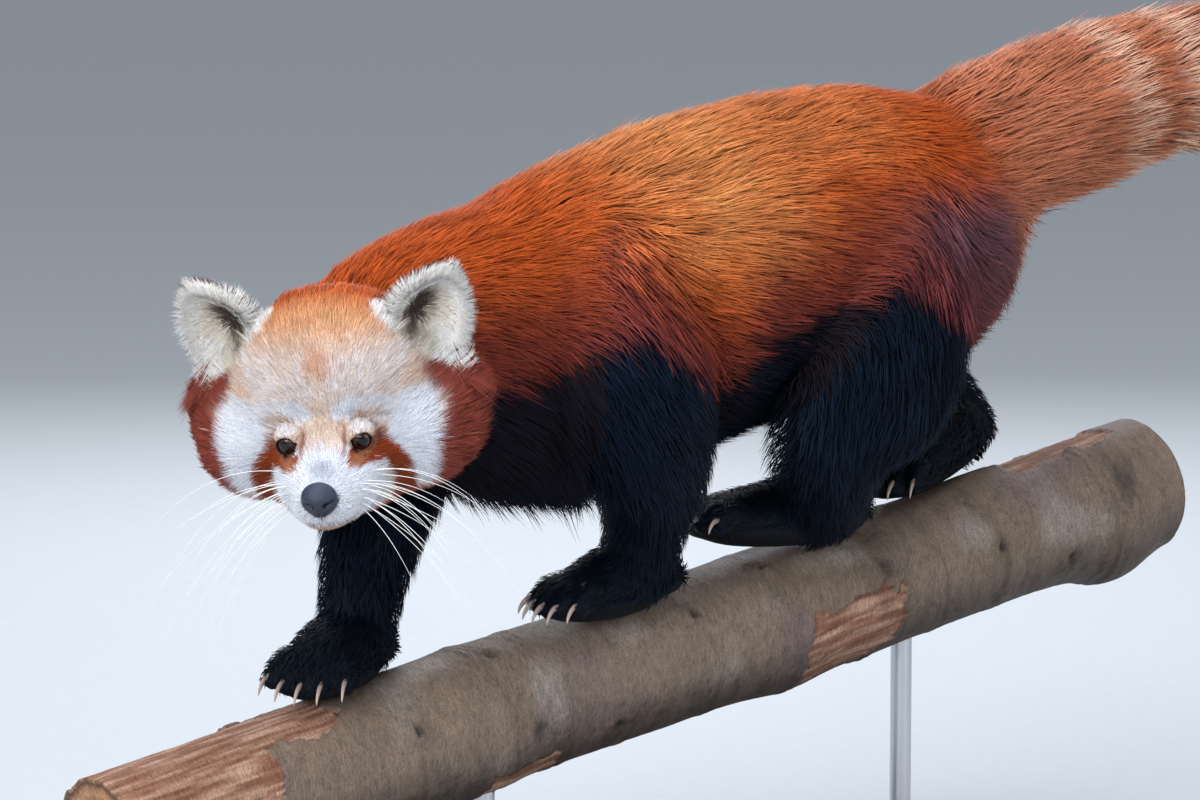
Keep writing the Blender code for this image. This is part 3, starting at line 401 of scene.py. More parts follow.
# %% Body and feet
body = object_of("skin", [loft(TORSO, COAT_DEPTH["trunk"], 32), loft(NECK, COAT_DEPTH["neck"], 32), loft([(c, a - d, b - d) for (c, a, b), d in zip(TAIL, TAIL_DEPTH)], 0.0, 24)]
                 + [loft(rows, COAT_DEPTH["leg"]) for rows in LEGS.values()])
melt(body, 0.0041, 12)
TOES = {}
feet = []
for name, rows in FEET.items():
    leg = LEGS[name.replace("forepaw", "foreleg").replace("hindfoot", "hindleg")]
    end, half = np.array(rows[-1][0]), rows[-1][1]
    forward = unit(end - np.array(rows[-2][0]))
    across = unit(np.cross(forward, (0.0, 0.0, 1.0)))
    pieces = [loft(rows, COAT_DEPTH["foot"]), loft(leg[-2:], COAT_DEPTH["leg"])]
    TOES[name] = []
    for spread in np.linspace(-1, 1, 5):
        out = across * spread * half * 1.05
        tip = end + forward * (0.012 - 0.008 * spread**2) + out + (0, 0, 0.001)
        root = end - forward * 0.020 + out * 0.8 + (0, 0, 0.004)
        middle = (root + tip) / 2 + (0, 0, 0.004)
        pieces.append(loft([(tuple(root), 0.007, 0.009), (tuple(middle), 0.007, 0.009), (tuple(tip), 0.0062, 0.0075)], 0.0012, 14, 3))
        TOES[name].append((tip + forward * 0.001 + (0, 0, 0.003), unit(forward + across * 0.25 * spread)))
    feet.append(melt(object_of(name + "_skin", pieces), 0.0024, 3))
print("body:", len(body.data.polygons), "faces; feet:", [len(foot.data.polygons) for foot in feet])

# %% [markdown]
# The head is melted twice, as in the solids: first the round forms of the skull and cheeks with long
# softening, then again with the short muzzle, so that only the muzzle keeps a crisp form. Each ear is a
# flat ball with a hollow cup taken out of its front.

# %% Head and ears
def shrunk(radii, depth):
    return tuple(radius - depth for radius in radii)


deep = COAT_DEPTH["skull"]
skull_balls = [ball(centre, shrunk(radii, deep), HEAD) for centre, radii in SKULL]
for side in (1, -1):
    skull_balls += [ball((x, side * y, z), shrunk(radii, deep), HEAD) for (x, y, z), radii in SKULL_PAIRS]
head = melt(object_of("head_skin", skull_balls), 0.004, 22)
muzzle = object_of("muzzle", [loft(MUZZLE, COAT_DEPTH["muzzle"], 32, 5, (0.0, 1.0, 0.0), HEAD)])
whole = bmesh.new()
for piece in (head, muzzle):
    whole.from_mesh(piece.data)
    bpy.data.objects.remove(piece, do_unlink=True)
head = object_of("head_skin", [whole])
melt(head, 0.0019, 8)
ears = []
for side in (1, -1):
    place = ear_matrix(side)
    ear = object_of("ear", [ball((0, 0, 0.008), (0.0095, EAR_HALF_WIDTH - 0.0037, 0.0345), place, 20)])
    cup = object_of("cup", [ball((0.0095, 0, 0.0105), (0.0115, EAR_HALF_WIDTH - 0.0080, 0.0278), place, 20)])
    boolean(ear, [cup], "DIFFERENCE")
    melt(ear, 0.0014, 4)
    local = into(place, numbers(ear.data)[0])
    high = (local[:, 2] - 0.008) / 0.033
    local[:, 1] = local[:, 1] * (1 - 0.26 * step(0.0, 1.0, high)) + side * (0.005 * step(0.4, -0.5, high) + 0.001)
    turn = np.array(place)
    ear.data.vertices.foreach_set("co", (local @ turn[:3, :3].T + turn[:3, 3]).astype(np.float32).ravel())
    ears.append(ear)
print("head:", len(head.data.polygons), "faces; ears:", [len(ear.data.polygons) for ear in ears])

# %% [markdown]
# The lids of a red panda lie right on the eyeball, furred almost to their thin, dark, bare edge. So each eye
# gets a shell of skin a little larger than the ball, with an almond cut out of it along the gaze, and a bent
# ring for the edge whose every point sits on the ball. The heavy upper lid comes closer to the gaze, and the
# inner corner runs out towards the nose.

# %% Sockets and lids
def eye_place(side):
    """Centre of an eyeball and its gaze, with the directions towards the outer corner and up."""
    centre = np.array(HEAD @ Vector((EYE_CENTRE[0], side * EYE_CENTRE[1], EYE_CENTRE[2])))
    gaze = unit(HEAD_TURN @ (np.array(EYE_GAZE) * (1, side, 1)))
    up = HEAD_TURN @ np.array((0.0, 0.0, 1.0))
    up = unit(up - gaze * (up @ gaze))
    outward = side * np.cross(up, gaze)
    return centre, gaze, outward, up


LID_TURNS = 56
LID_ANGLES = 2 * math.pi * np.arange(LID_TURNS) / LID_TURNS


def round_the_lid(*values):
    """A measure of the lid's edge in metres, given in mm every 45 degrees from the outer corner upwards."""
    found = np.interp(LID_ANGLES, np.radians(np.arange(0, 361, 45)), (*values, values[0])) / 1000
    for _ in range(4):
        found = (np.roll(found, 1) + 2 * found + np.roll(found, -1)) / 4
    return found


LID_REACH = round_the_lid(6.2, 5.8, 5.0, 5.4, 6.8, 6.0, 5.4, 5.8)
LID_THICK = round_the_lid(0.60, 0.70, 0.90, 0.75, 0.55, 0.60, 0.60, 0.60)


def grid_mesh(points, capped):
    """A closed mesh from rows of points: round both ways, or with its two ends filled."""
    rows, columns = points.shape[:2]
    mesh = bmesh.new()
    verts = [mesh.verts.new(p) for p in points.reshape(-1, 3)]
    grid = np.arange(rows * columns).reshape(rows, columns)
    quads = np.stack([grid, np.roll(grid, -1, 1), np.roll(np.roll(grid, -1, 1), -1, 0), np.roll(grid, -1, 0)], -1)
    for quad in (quads[:-1] if capped else quads).reshape(-1, 4):
        mesh.faces.new([verts[i] for i in quad])
    if capped:
        mesh.faces.new(verts[:columns])
        mesh.faces.new(verts[-columns:])
    bmesh.ops.recalc_face_normals(mesh, faces=mesh.faces)
    return mesh


def lid_edge(side, around=12):
    """A closed ring of skin laid on the eyeball round the opening."""
    centre, gaze, outward, up = eye_place(side)
    radial = np.outer(np.cos(LID_ANGLES), outward) + np.outer(np.sin(LID_ANGLES), up)
    middle = centre + radial * LID_REACH[:, None] + gaze * (np.sqrt(EYE_RADIUS**2 - LID_REACH**2) + 0.0004)[:, None]
    turn = 2 * math.pi * np.arange(around) / around
    ring = np.cos(turn)[None, :, None] * radial[:, None] + np.sin(turn)[None, :, None] * gaze
    return grid_mesh(middle[:, None] + ring * LID_THICK[:, None, None], False)


def opening(side):
    """The almond between the lids as a prism along the gaze, a little wider outwards."""
    centre, gaze, outward, up = eye_place(side)
    radial = (np.outer(np.cos(LID_ANGLES), outward) + np.outer(np.sin(LID_ANGLES), up)) * LID_REACH[:, None]
    return grid_mesh(np.stack([centre + radial * wide + gaze * far for far, wide in ((0.002, 0.92), (0.007, 1.0), (0.016, 1.25))]), True)


boolean(body, [head, *ears, *feet], "UNION")
for make, operation in ((lambda side: ball(eye_place(side)[0], (EYE_RADIUS + 0.0012,) * 3, None, 26), "UNION"),
                        (lambda side: ball(eye_place(side)[0], (EYE_RADIUS + 0.0003,) * 3, None, 24), "DIFFERENCE"),
                        (opening, "DIFFERENCE"), (lid_edge, "UNION"),
                        (lambda side: ball(eye_place(side)[0], (EYE_RADIUS + 0.0001,) * 3, None, 24), "DIFFERENCE")):
    boolean(body, [object_of("operand", [make(side)]) for side in (1, -1)], operation)
skin = body
skin.data.polygons.foreach_set("use_smooth", np.ones(len(skin.data.polygons), bool))
print("one skin:", len(skin.data.polygons), "faces")

# %% [markdown]
# ### The skin as numbers
# Fur is set out by arithmetic, so the skin is read once into arrays: its points with their normals, and its
# triangles with their areas. The mouth is pressed into those points as a shallow line that starts under the
# nose and runs back on each side, because a groove this fine would be lost in the melting.

# %% Read the skin and press in the mouth
def mouth_rays():
    """Starts and aims, in the head frame, of the rays that lay the line of the mouth on the skin."""
    lines = [[((0.050, 0.0, z), (1.0, 0.0, 0.0)) for z in (-0.0325, -0.0365, -0.0405)]]
    for side in (1, -1):
        rays = [((0.048, 0.0, -0.0405 - 0.0055 * math.sin(a)), (math.cos(a), side * math.sin(a), 0.0)) for a in np.radians((0, 12, 24, 42, 58, 72, 84))]
        lines.append(rays + [((x, 0.0, z), (0.0, side, 0.0)) for x, z in ((0.043, -0.0458), (0.037, -0.0452), (0.031, -0.0430))])
    return lines


def laid(obj, rays):
    """Where rays cast from outside first meet an object."""
    tree = BVHTree.FromObject(obj, bpy.context.evaluated_depsgraph_get())
    points = []
    for start, aim in rays:
        start, aim = HEAD @ Vector(start), (HEAD.to_3x3() @ Vector(aim)).normalized()
        points.append(tree.ray_cast(start + aim * 0.2, -aim)[0])
    return smooth_path(points, 4)


MOUTH = [laid(skin, rays) for rays in mouth_rays()]


def nearest(points, line):
    """Distance of points from a line of points, and the index of the nearest one."""
    best, index = np.full(len(points), 1e9), np.zeros(len(points), int)
    for i, place in enumerate(line):
        far = ((points - place) ** 2).sum(1)
        closer = far < best
        best[closer], index[closer] = far[closer], i
    return np.sqrt(best), index


points, normals, triangles = numbers(skin.data)
to_mouth = np.min([nearest(points, line)[0] for line in MOUTH], axis=0)
points -= normals * (0.0016 * np.exp(-((to_mouth / 0.0014) ** 2)))[:, None]
skin.data.vertices.foreach_set("co", points.astype(np.float32).ravel())
skin.data.update()
SKIN_POINTS, SKIN_NORMALS, SKIN_TRIANGLES = numbers(skin.data)
print("skin:", len(SKIN_POINTS), "points", len(SKIN_TRIANGLES), "triangles")

# %% [markdown]
# ## Limbs that the coat follows
# Hair lies along a limb, so each limb is kept as a line with a radius. Every root of hair asks how far it
# is from each line, measured in that limb's radii, and takes a mixture of their directions, lengths and
# heights in which the nearest counts most. That keeps the lie of the coat smooth from neck to shoulder to
# leg with no seam, which separate rules for each limb wouldn't.

# %% The limbs' lines
class Limb:
    """A line through a limb, with the length, rise and width of its hair at each station."""

    def __init__(self, name, stations, length, rise, width, backwards=False):
        rows = smooth_path([(*c, (a + b) / 2) for c, a, b in stations], 6)
        spread = np.linspace(0, 1, len(rows))
        self.name, self.line, self.radius = name, rows[:, :3], rows[:, 3]
        self.along = unit(np.gradient(self.line, axis=0)) * (-1 if backwards else 1)
        self.length = np.interp(spread, np.linspace(0, 1, len(length)), length) / 1000
        self.rise = np.interp(spread, np.linspace(0, 1, len(rise)), rise) / 1000
        self.width = np.interp(spread, np.linspace(0, 1, len(width)), width) / 1000
        self.reach = np.r_[0, np.cumsum(np.linalg.norm(np.diff(self.line, axis=0), axis=1))]


LIMBS = [Limb("trunk", TORSO, (28, 29, 30, 30, 31, 33, 35, 35), (9, 10, 10, 10, 10, 10, 10, 10), (0.88, 0.92)),
         Limb("neck", NECK, (28, 26, 24, 22, 20), (8, 8, 8, 7, 6), (0.88, 0.80), backwards=True),
         Limb("tail", TAIL, (34, 36, 38, 38, 38, 38, 36, 33, 28), (9, 12, 15, 16, 16, 16, 15, 13, 10), (1.25, 1.25))]
for name, rows in LEGS.items():
    LIMBS.append(Limb(name, rows, (28, 27, 25, 20, 14, 11), (9, 8, 7, 6, 5, 4), (1.0, 0.95, 0.88, 0.80)))
for name, rows in FEET.items():
    LIMBS.append(Limb(name, rows, (10, 10, 9, 8, 7), (3.5, 3.5, 3, 2.5, 2), (0.75, 0.65)))
NAMES = [limb.name for limb in LIMBS] + ["head", "ear_left", "ear_right"]
TUFT = (0.026, -0.008, 0.0115)
print("limbs:", NAMES)

# %% [markdown]
# On the head the hair grows away from the nose in every direction: up over the brow, out over the cheeks
# and back under the chin. Near an eye it turns away from the lids, and on an ear it runs out to the rim.


# %% How near each limb is, and what it asks of the hair
def closeness(points):
    """For each limb the weight it has at each point, and the nearest station."""
    nearness, stations = [], []
    for limb in LIMBS:
        distance, index = nearest(points, limb.line)
        nearness.append(distance / limb.radius[index])
        stations.append(index)
    own = head_frame(points)
    nearness.append(np.linalg.norm(own - (-0.006, 0, -0.006), axis=1) / 0.062)
    for side in (1, -1):
        local = into(ear_matrix(side), points)
        flat = np.sqrt((local[:, 0] / 0.016) ** 2 + (local[:, 1] / 0.0285) ** 2 + ((local[:, 2] - 0.010) / 0.038) ** 2)
        near_ear = np.where((local[:, 2] > -0.012) & (flat < 1.15), 0.35 * flat, 9.0)
        lobe = np.linalg.norm(local - (0.002, side * TUFT[0], TUFT[1]), axis=1) / TUFT[2]
        nearness.append(np.minimum(near_ear, np.where(lobe < 1.0, 0.3 * lobe, 9.0)))
    nearness = np.array(nearness)
    weights = np.exp(-5.0 * nearness**2)
    weights /= weights.sum(0)
    return weights, stations, nearness


def head_hair(points, normals):
    """Direction, length, rise and width of the hair on the head."""
    own = head_frame(points)
    turned = normals @ HEAD_TURN
    away = unit(own - (NOSE_CENTRE - (0.004, 0, 0.002)))
    away = unit(away + np.stack([-0.25 * np.ones(len(own)), np.zeros(len(own)), -0.25 * step(0.0, -0.04, own[:, 2])], 1))
    paired = np.c_[own[:, 0], np.abs(own[:, 1]), own[:, 2]]
    from_eye = paired - (EYE_CENTRE + (0.004, 0.001, 0.0))
    eye_far = np.linalg.norm(from_eye, axis=1)
    from_eye[:, 1] *= np.sign(own[:, 1])
    pull = 2.2 * np.exp(-((eye_far / 0.0125) ** 2))
    away = unit(away + unit(from_eye) * pull[:, None])
    far = np.linalg.norm(own - NOSE_CENTRE, axis=1)
    length = np.interp(far, (0.010, 0.020, 0.035, 0.050, 0.070, 0.090, 0.115, 0.140), (0.0026, 0.0038, 0.0052, 0.0068, 0.0090, 0.0115, 0.016, 0.022))
    rise = np.interp(far, (0.010, 0.020, 0.040, 0.060, 0.080, 0.110), (0.0010, 0.0013, 0.0019, 0.0029, 0.0040, 0.0050))
    ruff = step(0.050, 0.072, paired[:, 1]) * step(0.024, -0.004, own[:, 2]) * step(0.045, 0.020, own[:, 0])
    length += 0.009 * ruff
    rise += 0.0012 * ruff
    near_eye = step(1.9, 1.0, eye_reach(own))
    length *= 1 - 0.60 * near_eye
    rise *= 1 - 0.45 * near_eye
    width = np.interp(length, (0.003, 0.008, 0.014, 0.026), (0.00042, 0.00055, 0.00070, 0.0010))
    return away @ HEAD_TURN.T, length, rise, width


def ear_hair(points, normals, side):
    """The same on an ear: white at the rim, spreading from the cup, which is painted dark as the shade in its hollow,
    and a long tuft at its outer root.
    """
    place = ear_matrix(side)
    turn = np.array(place.to_3x3())
    local, facing = into(place, points), normals @ turn
    across, high = local[:, 1] * side / 0.0225, (local[:, 2] - 0.008) / 0.033
    out = np.sqrt(across**2 + high**2)
    inside = step(0.0, 0.4, facing[:, 0]) * step(0.95, 0.70, out)
    radial = unit(np.stack([np.zeros(len(out)), (across + 0.30 * inside) * side, high - 0.20 * inside + 0.10], 1))
    lie = unit(radial + np.stack([0.25 * step(-0.3, 0.3, facing[:, 0]), 0 * out, 0 * out], 1))
    lobe = step(1.0, 0.72, np.linalg.norm(local - (0.002, side * TUFT[0], TUFT[1]), axis=1) / TUFT[2])
    lie = unit(lie * (1 - lobe)[:, None] + np.outer(lobe, (0.30, 0.84 * side, -0.42)))
    length = 0.0084 + 0.0035 * inside + 0.0165 * lobe
    rise = 0.0030 - 0.0008 * inside + 0.0020 * lobe
    return lie @ turn.T, length, rise, 0.00052 + 0.0003 * lobe


def combed(points, normals):
    """Direction, length, rise and width of the hair at each root."""
    weights, stations, nearness = closeness(points)
    lie = np.zeros_like(points)
    length, rise, width = (np.zeros(len(points)) for _ in range(3))
    sideways = 1 - np.abs(normals[:, 2])
    for weight, limb, index in zip(weights, LIMBS, stations):
        way = limb.along[index].copy()
        if limb.name in ("trunk", "neck"):
            way[:, 2] -= 0.42 * sideways + 0.25 * np.clip(-normals[:, 2], 0, 1)
            way += np.outer(step(0.25, 0.75, normals[:, 1]) * (limb.name == "trunk"), (0, -0.25, -1.6))
        elif "leg" in limb.name:
            way += np.outer(step(0.24, 0.36, points[:, 2]), (0, 0.25, 0))
        lie += way * weight[:, None]
        length += limb.length[index] * weight
        rise += limb.rise[index] * weight
        width += limb.width[index] * weight
    for k, found in ((-3, head_hair(points, normals)), (-2, ear_hair(points, normals, 1)), (-1, ear_hair(points, normals, -1))):
        lie += found[0] * weights[k][:, None]
        length += found[1] * weights[k]
        rise += found[2] * weights[k]
        width += found[3] * weights[k]
    below = step(-0.1, -0.7, normals[:, 2]) * step(0.28, 0.32, points[:, 2]) * (weights[0] + weights[1])
    length, rise = length * (1 + 0.25 * below), rise + 0.014 * below * step(0.02, -0.06, points[:, 1])
    rise += 0.010 * (weights[5] + weights[6]) * step(-0.1, -0.8, normals[:, 1]) * step(0.29, 0.33, points[:, 2])
    rise *= 1 - 0.45 * weights[0] * step(0.25, 0.75, normals[:, 1])
    swirl = 0.17 * np.stack([noise(points, 0.030, 11), noise(points, 0.030, 12), noise(points, 0.030, 13)], 1)
    lie = unit(lie) + swirl
    lie -= normals * (lie * normals).sum(1)[:, None]
    return unit(lie), length, rise, width, weights, nearness


lie, length, rise, width, weights, nearness = combed(SKIN_POINTS[::50], SKIN_NORMALS[::50])
print("hair from", round(length.min() * 1000, 1), "to", round(length.max() * 1000, 1), "mm")

# %% [markdown]
# ## Markings
# The pattern of the coat is painted once, as a rule that gives a colour for any place on the animal, and the
# skin and every lock of hair ask the same rule, so that they always agree. It is written from measured
# places, such as the edge of the black on the flank. The far side mirrors the near one, moved along to
# where its own legs stand. Each place has a colour for the tips of the hair and a darker one for its roots.

# %% The coat's palette
PALETTE = {name: linear(code) for name, code in {
    "rust": "#c2551f", "rust_root": "#6d220a", "gold_tips_and_sheen": "#e59355", "gold_root": "#8f4115", "hip_with_sky_sheen": "#72474c", "hip_root": "#341a20",
    "rump_with_sky_sheen": "#714d55", "rump_root": "#2a1a22", "tail": "#c87a57", "tail_root": "#8f4e36", "tail_pale": "#efc8ab", "tail_dark": "#432a26",
    "plum": "#74302a", "black": "#0d1621", "black_root": "#030508", "white": "#f1f4f9", "white_root": "#b7b4b8",
    "buff": "#eed3bf", "buff_root": "#ad7a58", "crown": "#e6a067", "crown_root": "#9c5024", "spot": "#ecb88c", "ember": "#dc9662", "stripe": "#8e3d20",
    "stripe_root": "#43160c", "ruff": "#934638", "ruff_root": "#4a1a14", "tan": "#a98468", "tan_root": "#5d3f2e", "cream": "#f3e6d0",
    "cream_root": "#b59f88", "cup": "#54453b", "cup_shade_root": "#211a16", "down": "#fbf5ec", "down_root": "#d8c6b2", "bare": "#15110f", "chin": "#c79a74", "peach": "#bd7f5a",
    "slate": "#8792a3", "lip": "#6b4f48",
}.items()}
FLANK_EDGE = ((-0.30, -0.150, -0.110, -0.094, -0.078, -0.062, -0.043, -0.025, -0.007, 0.019, 0.040, 0.057, 0.064, 0.072, 0.098,
               0.120, 0.143, 0.161, 0.180, 0.200, 0.240, 0.30, 0.40),
              (0.372, 0.376, 0.379, 0.378, 0.382, 0.393, 0.397, 0.390, 0.376, 0.364, 0.360, 0.372, 0.387, 0.396, 0.402,
               0.407, 0.411, 0.412, 0.405, 0.392, 0.374, 0.366, 0.360))
FAR_SIDE = ((-0.20, -0.090, 0.030, 0.245, 0.330, 0.40), (-0.150, -0.043, 0.030, 0.161, 0.215, 0.30))


def flank_edge(points):
    """Height of the edge between the red back and the black below."""
    y = np.where(points[:, 0] < 0, np.interp(points[:, 1], *FAR_SIDE), points[:, 1])
    return np.interp(y, *FLANK_EDGE)


print("palette:", len(PALETTE), "colours")

# %% [markdown]
# A layer is a pair of colours and a mask from 0 to 1. Layers are laid over one another in order, as a
# painter would: ground colour first, then the saddle, hips, rings of the tail and the black. The gold over
# the saddle and along the top of the back is partly the golden tips of the coat and partly painted sheen
# of the light from above, and the bluish mauve of the hips and rump is partly their own maroon and partly
# a painted reflection of the sky.


# %% Colours of the body
class Paint:
    """Tip and root colours at some places, painted in layers."""

    def __init__(self, count, tip, root):
        self.tip = np.tile(PALETTE[tip], (count, 1))
        self.root = np.tile(PALETTE[root], (count, 1))

    def lay(self, mask, tip, root):
        mask = np.clip(mask, 0, 1)[:, None]
        self.tip += (PALETTE[tip] - self.tip) * mask
        self.root += (PALETTE[root] - self.root) * mask


def body_colours(points, normals):
    ragged = points + 0.006 * np.stack([noise(points, 0.012, k) for k in (1, 2, 3)], 1) + 0.004 * np.stack([noise(points, 0.005, k) for k in (4, 5, 6)], 1)
    x, y, z = ragged.T
    paint = Paint(len(points), "rust", "rust_root")
    patchy = 0.5 + 0.5 * noise(points, 0.022, 7)
    # The gold is partly the golden tips of the coat and partly painted sheen: a band over the saddle and a paler top of
    # the back, where the light from above falls.
    paint.lay(np.exp(-(((y - 0.045) / 0.062) ** 2)) * step(0.392, 0.462, z) * (0.50 + 0.65 * patchy), "gold_tips_and_sheen", "gold_root")
    paint.lay(0.45 * step(0.470, 0.510, z) * step(-0.10, 0.0, y) * step(0.24, 0.16, y), "gold_tips_and_sheen", "rust_root")
    # The hips and rump are their own darker maroon, tinted bluish mauve as a painted reflection of the sky.
    paint.lay(step(0.115, 0.215, y) * step(0.492, 0.440, z), "hip_with_sky_sheen", "hip_root")
    paint.lay(0.65 * step(0.190, 0.255, y) * step(0.500, 0.425, z), "rump_with_sky_sheen", "rump_root")
    above = z - flank_edge(ragged)
    paint.lay(0.85 * step(0.072, 0.006, above), "plum", "hip_root")
    distance, index = nearest(points, LIMBS[2].line)
    on_tail = step(0.265, 0.335, y + 0.35 * (z - 0.47)) * step(0.392, 0.425, z)
    paint.lay(on_tail, "tail", "tail_root")
    s = LIMBS[2].reach[index] + 0.010 * noise(points, 0.012, 9)
    wave = np.sin((s - 0.165) / 0.058 * 2 * math.pi)
    paint.lay(0.85 * on_tail * step(-0.15, 0.65, wave) * step(0.150, 0.185, s), "tail_pale", "tail")
    paint.lay(0.45 * on_tail * step(-0.2, -0.8, wave) * step(0.20, 0.26, s), "rust_root", "tail_dark")
    paint.lay(on_tail * step(0.455, 0.495, s), "tail_dark", "black_root")
    black = step(0.006, -0.006, above) * (1 - on_tail)
    black = np.maximum(black, step(0.345, 0.335, z) * (1 - on_tail))
    paint.lay(black, "black", "black_root")
    return paint


# %% [markdown]
# The face is painted in the head's own frame, seen from the front, with the distance from the midline taken
# without its sign so that both sides are alike: a white muzzle and cheeks, white brows, a russet stripe
# from each eye to the corner of the mouth, a buff forehead ticked with orange, and a russet ruff behind.
# A tan band under each white brow and a russet streak at the inner corner of each eye are painted shade.


# %% Colours of the face
def oval(y, z, centre, radii, soft=0.25):
    """1 inside an oval of the front view, 0 outside."""
    far = np.sqrt(((y - centre[0]) / radii[0]) ** 2 + ((z - centre[1]) / radii[1]) ** 2)
    return step(1 + soft, 1 - soft, far)


STRIPE = smooth_path([(0.0155, -0.0112, 0.0014), (0.0200, -0.0140, 0.0028), (0.0262, -0.0152, 0.0042), (0.0322, -0.0162, 0.0056),
                      (0.0370, -0.0212, 0.0064), (0.0404, -0.0282, 0.0070), (0.0412, -0.0352, 0.0069), (0.0402, -0.0432, 0.0066),
                      (0.0385, -0.0520, 0.0068)], 3)


def face_colours(points, normals):
    own = head_frame(points)
    own = own + 0.0014 * np.stack([noise(own, 0.005, k) for k in (21, 22, 23)], 1) + 0.0007 * np.stack([noise(own, 0.002, k) for k in (24, 25, 26)], 1)
    x, y, z = own[:, 0], np.abs(own[:, 1]), own[:, 2]
    paint = Paint(len(points), "rust", "rust_root")
    ticks = 0.5 + 0.5 * noise(points, 0.0030, 31)
    front = step(-0.016, 0.010, x)
    eye_y, eye_z = y - EYE_CENTRE[1], z - EYE_CENTRE[2]
    eye = np.hypot(eye_y, eye_z)
    outer = step(-0.35, 0.35, (eye_y - 0.7 * eye_z) / np.maximum(eye, 1e-6))
    distance, index = nearest(np.c_[y, z], STRIPE[:, :2])
    mouth = np.min([nearest(points, line)[0] for line in MOUTH], axis=0)
    nose = np.linalg.norm((own - NOSE_CENTRE) / (0.0088, 0.0116, 0.0092), axis=1)
    ruff = np.maximum(step(0.0655, 0.0710, y + 0.25 * np.maximum(0, -0.010 - z)), step(0.016, 0.004, x) * step(0.050, 0.058, y))
    for mask, tip, root in (
            (front * step(0.080, 0.062, y) * step(-0.060, -0.050, z), "buff", "buff_root"),
            (0.80 * front * step(0.010, 0.022, z) * step(0.052, 0.034, z) * ticks, "white", "buff_root"),
            (0.9 * step(0.034, 0.058, z + 0.08 * y) * step(-0.040, -0.012, x), "crown", "crown_root"),
            (step(0.014, 0.052, z) * step(0.014, -0.022, x), "rust", "rust_root"),
            (0.72 * oval(y, z, (0.0, 0.0352), (0.0075, 0.0070), 0.9) * front, "ember", "crown_root"),
            (0.45 * front * oval(y, z, (0.056, 0.019), (0.013, 0.011), 0.4), "spot", "crown_root"),
            (front * oval(y, z, (0.052, -0.018), (0.0175, 0.0285), 0.2), "white", "white_root"),
            (0.75 * front * oval(y, z, (0.044, 0.004), (0.015, 0.008), 0.5), "white", "white_root"),
            (front * oval(y - 0.55 * (z - 0.0105), z, (0.0140, 0.0105), (0.0078, 0.0068), 0.35), "white", "white_root"),
            (0.7 * front * oval(y, z, (0.028, 0.0120), (0.009, 0.0040), 0.5), "white", "white_root"),
            # A tan band of painted shade under the white brow, above the eye.
            (0.75 * front * oval(y, z + 0.25 * (y - 0.0255), (0.0260, 0.0050), (0.0110, 0.0027), 0.5) * (0.6 + 0.6 * ticks), "tan", "tan_root"),
            (0.60 * front * oval(y, z + 0.10 * (y - 0.0225), (0.0225, 0.0010), (0.0076, 0.0023), 0.7), "white", "white_root"),
            (step(0.030, 0.044, x) * oval(y, z, (0.0, -0.034), (0.036, 0.029), 0.12), "white", "white_root"),
            (0.40 * step(0.0070, 0.0020, y) * step(-0.008, 0.006, z) * step(0.034, 0.022, z) * front, "buff", "buff_root"),
            (0.6 * oval(y, z, (0.0, -0.0140), (0.0062, 0.0055), 0.7) * step(0.060, 0.068, x), "slate", "white_root"),
            (step(1.14, 0.90, distance / STRIPE[index, 2]) * step(-0.016, 0.004, x), "stripe", "stripe_root"),
            (0.45 * step(1.1, 0.6, distance / STRIPE[index, 2]) * step(-0.034, -0.012, z) * step(-0.016, 0.004, x), "rust", "stripe_root"),
            (0.9 * front * oval(y, z, (0.0318, -0.0090), (0.0036, 0.0056), 0.35), "stripe", "stripe_root"),
            (0.7 * front * step(0.0112, 0.0092, eye) * step(0.0, -0.6, eye_z / np.maximum(eye, 1e-6)) * outer, "peach", "stripe_root"),
            # A russet streak of painted shade in the crease at the inner corner of the eye.
            (0.75 * front * oval(y, z, (0.0124, -0.0060), (0.0015, 0.0048), 0.5), "stripe", "stripe_root"),
            (ruff * step(0.030, 0.016, z), "ruff", "ruff_root"),
            (step(-0.046, -0.052, z) * step(0.040, 0.030, x), "ruff", "ruff_root"),
            (0.9 * step(-0.0420, -0.0450, z) * step(0.046, 0.054, x) * step(0.018, 0.010, y), "chin", "tan_root"),
            (step(-0.052, -0.064, z) * step(0.052, 0.036, x), "black", "black_root"),
            (0.8 * step(0.0015, 0.0007, mouth), "lip", "lip"),
            (step(1.06, 0.98, nose), "bare", "bare"),
            (step(1.00, 0.92, eye_reach(own)), "bare", "bare")):
        paint.lay(mask, tip, root)
    return paint


def ear_colours(points, normals, side):
    place = ear_matrix(side)
    local, facing = into(place, points), normals @ np.array(place.to_3x3())
    across, high = local[:, 1] * side / 0.0225, (local[:, 2] - 0.008) / 0.033
    out = np.sqrt(across**2 + high**2) + 0.05 * noise(points, 0.004, 41)
    paint = Paint(len(points), "ruff", "ruff_root")
    front = step(-0.15, 0.25, facing[:, 0])
    paint.lay(front, "cream", "cream_root")
    # The dark of the cup is painted shade in the hollow of the ear.
    paint.lay(front * step(0.66, 0.34, np.hypot(across + 0.27, 0.9 * (high - 0.14))), "cup", "cup_shade_root")
    paint.lay(step(0.66, 0.84, out) * step(-0.85, -0.45, facing[:, 0] - 0.5 * step(0.9, 1.2, out)), "down", "down_root")
    lobe = np.linalg.norm(local - (0.002, side * TUFT[0], TUFT[1]), axis=1) / TUFT[2]
    paint.lay(step(1.25, 0.9, lobe) + step(0.3, 0.7, across) * step(0.2, -0.1, high), "down", "down_root")
    return paint


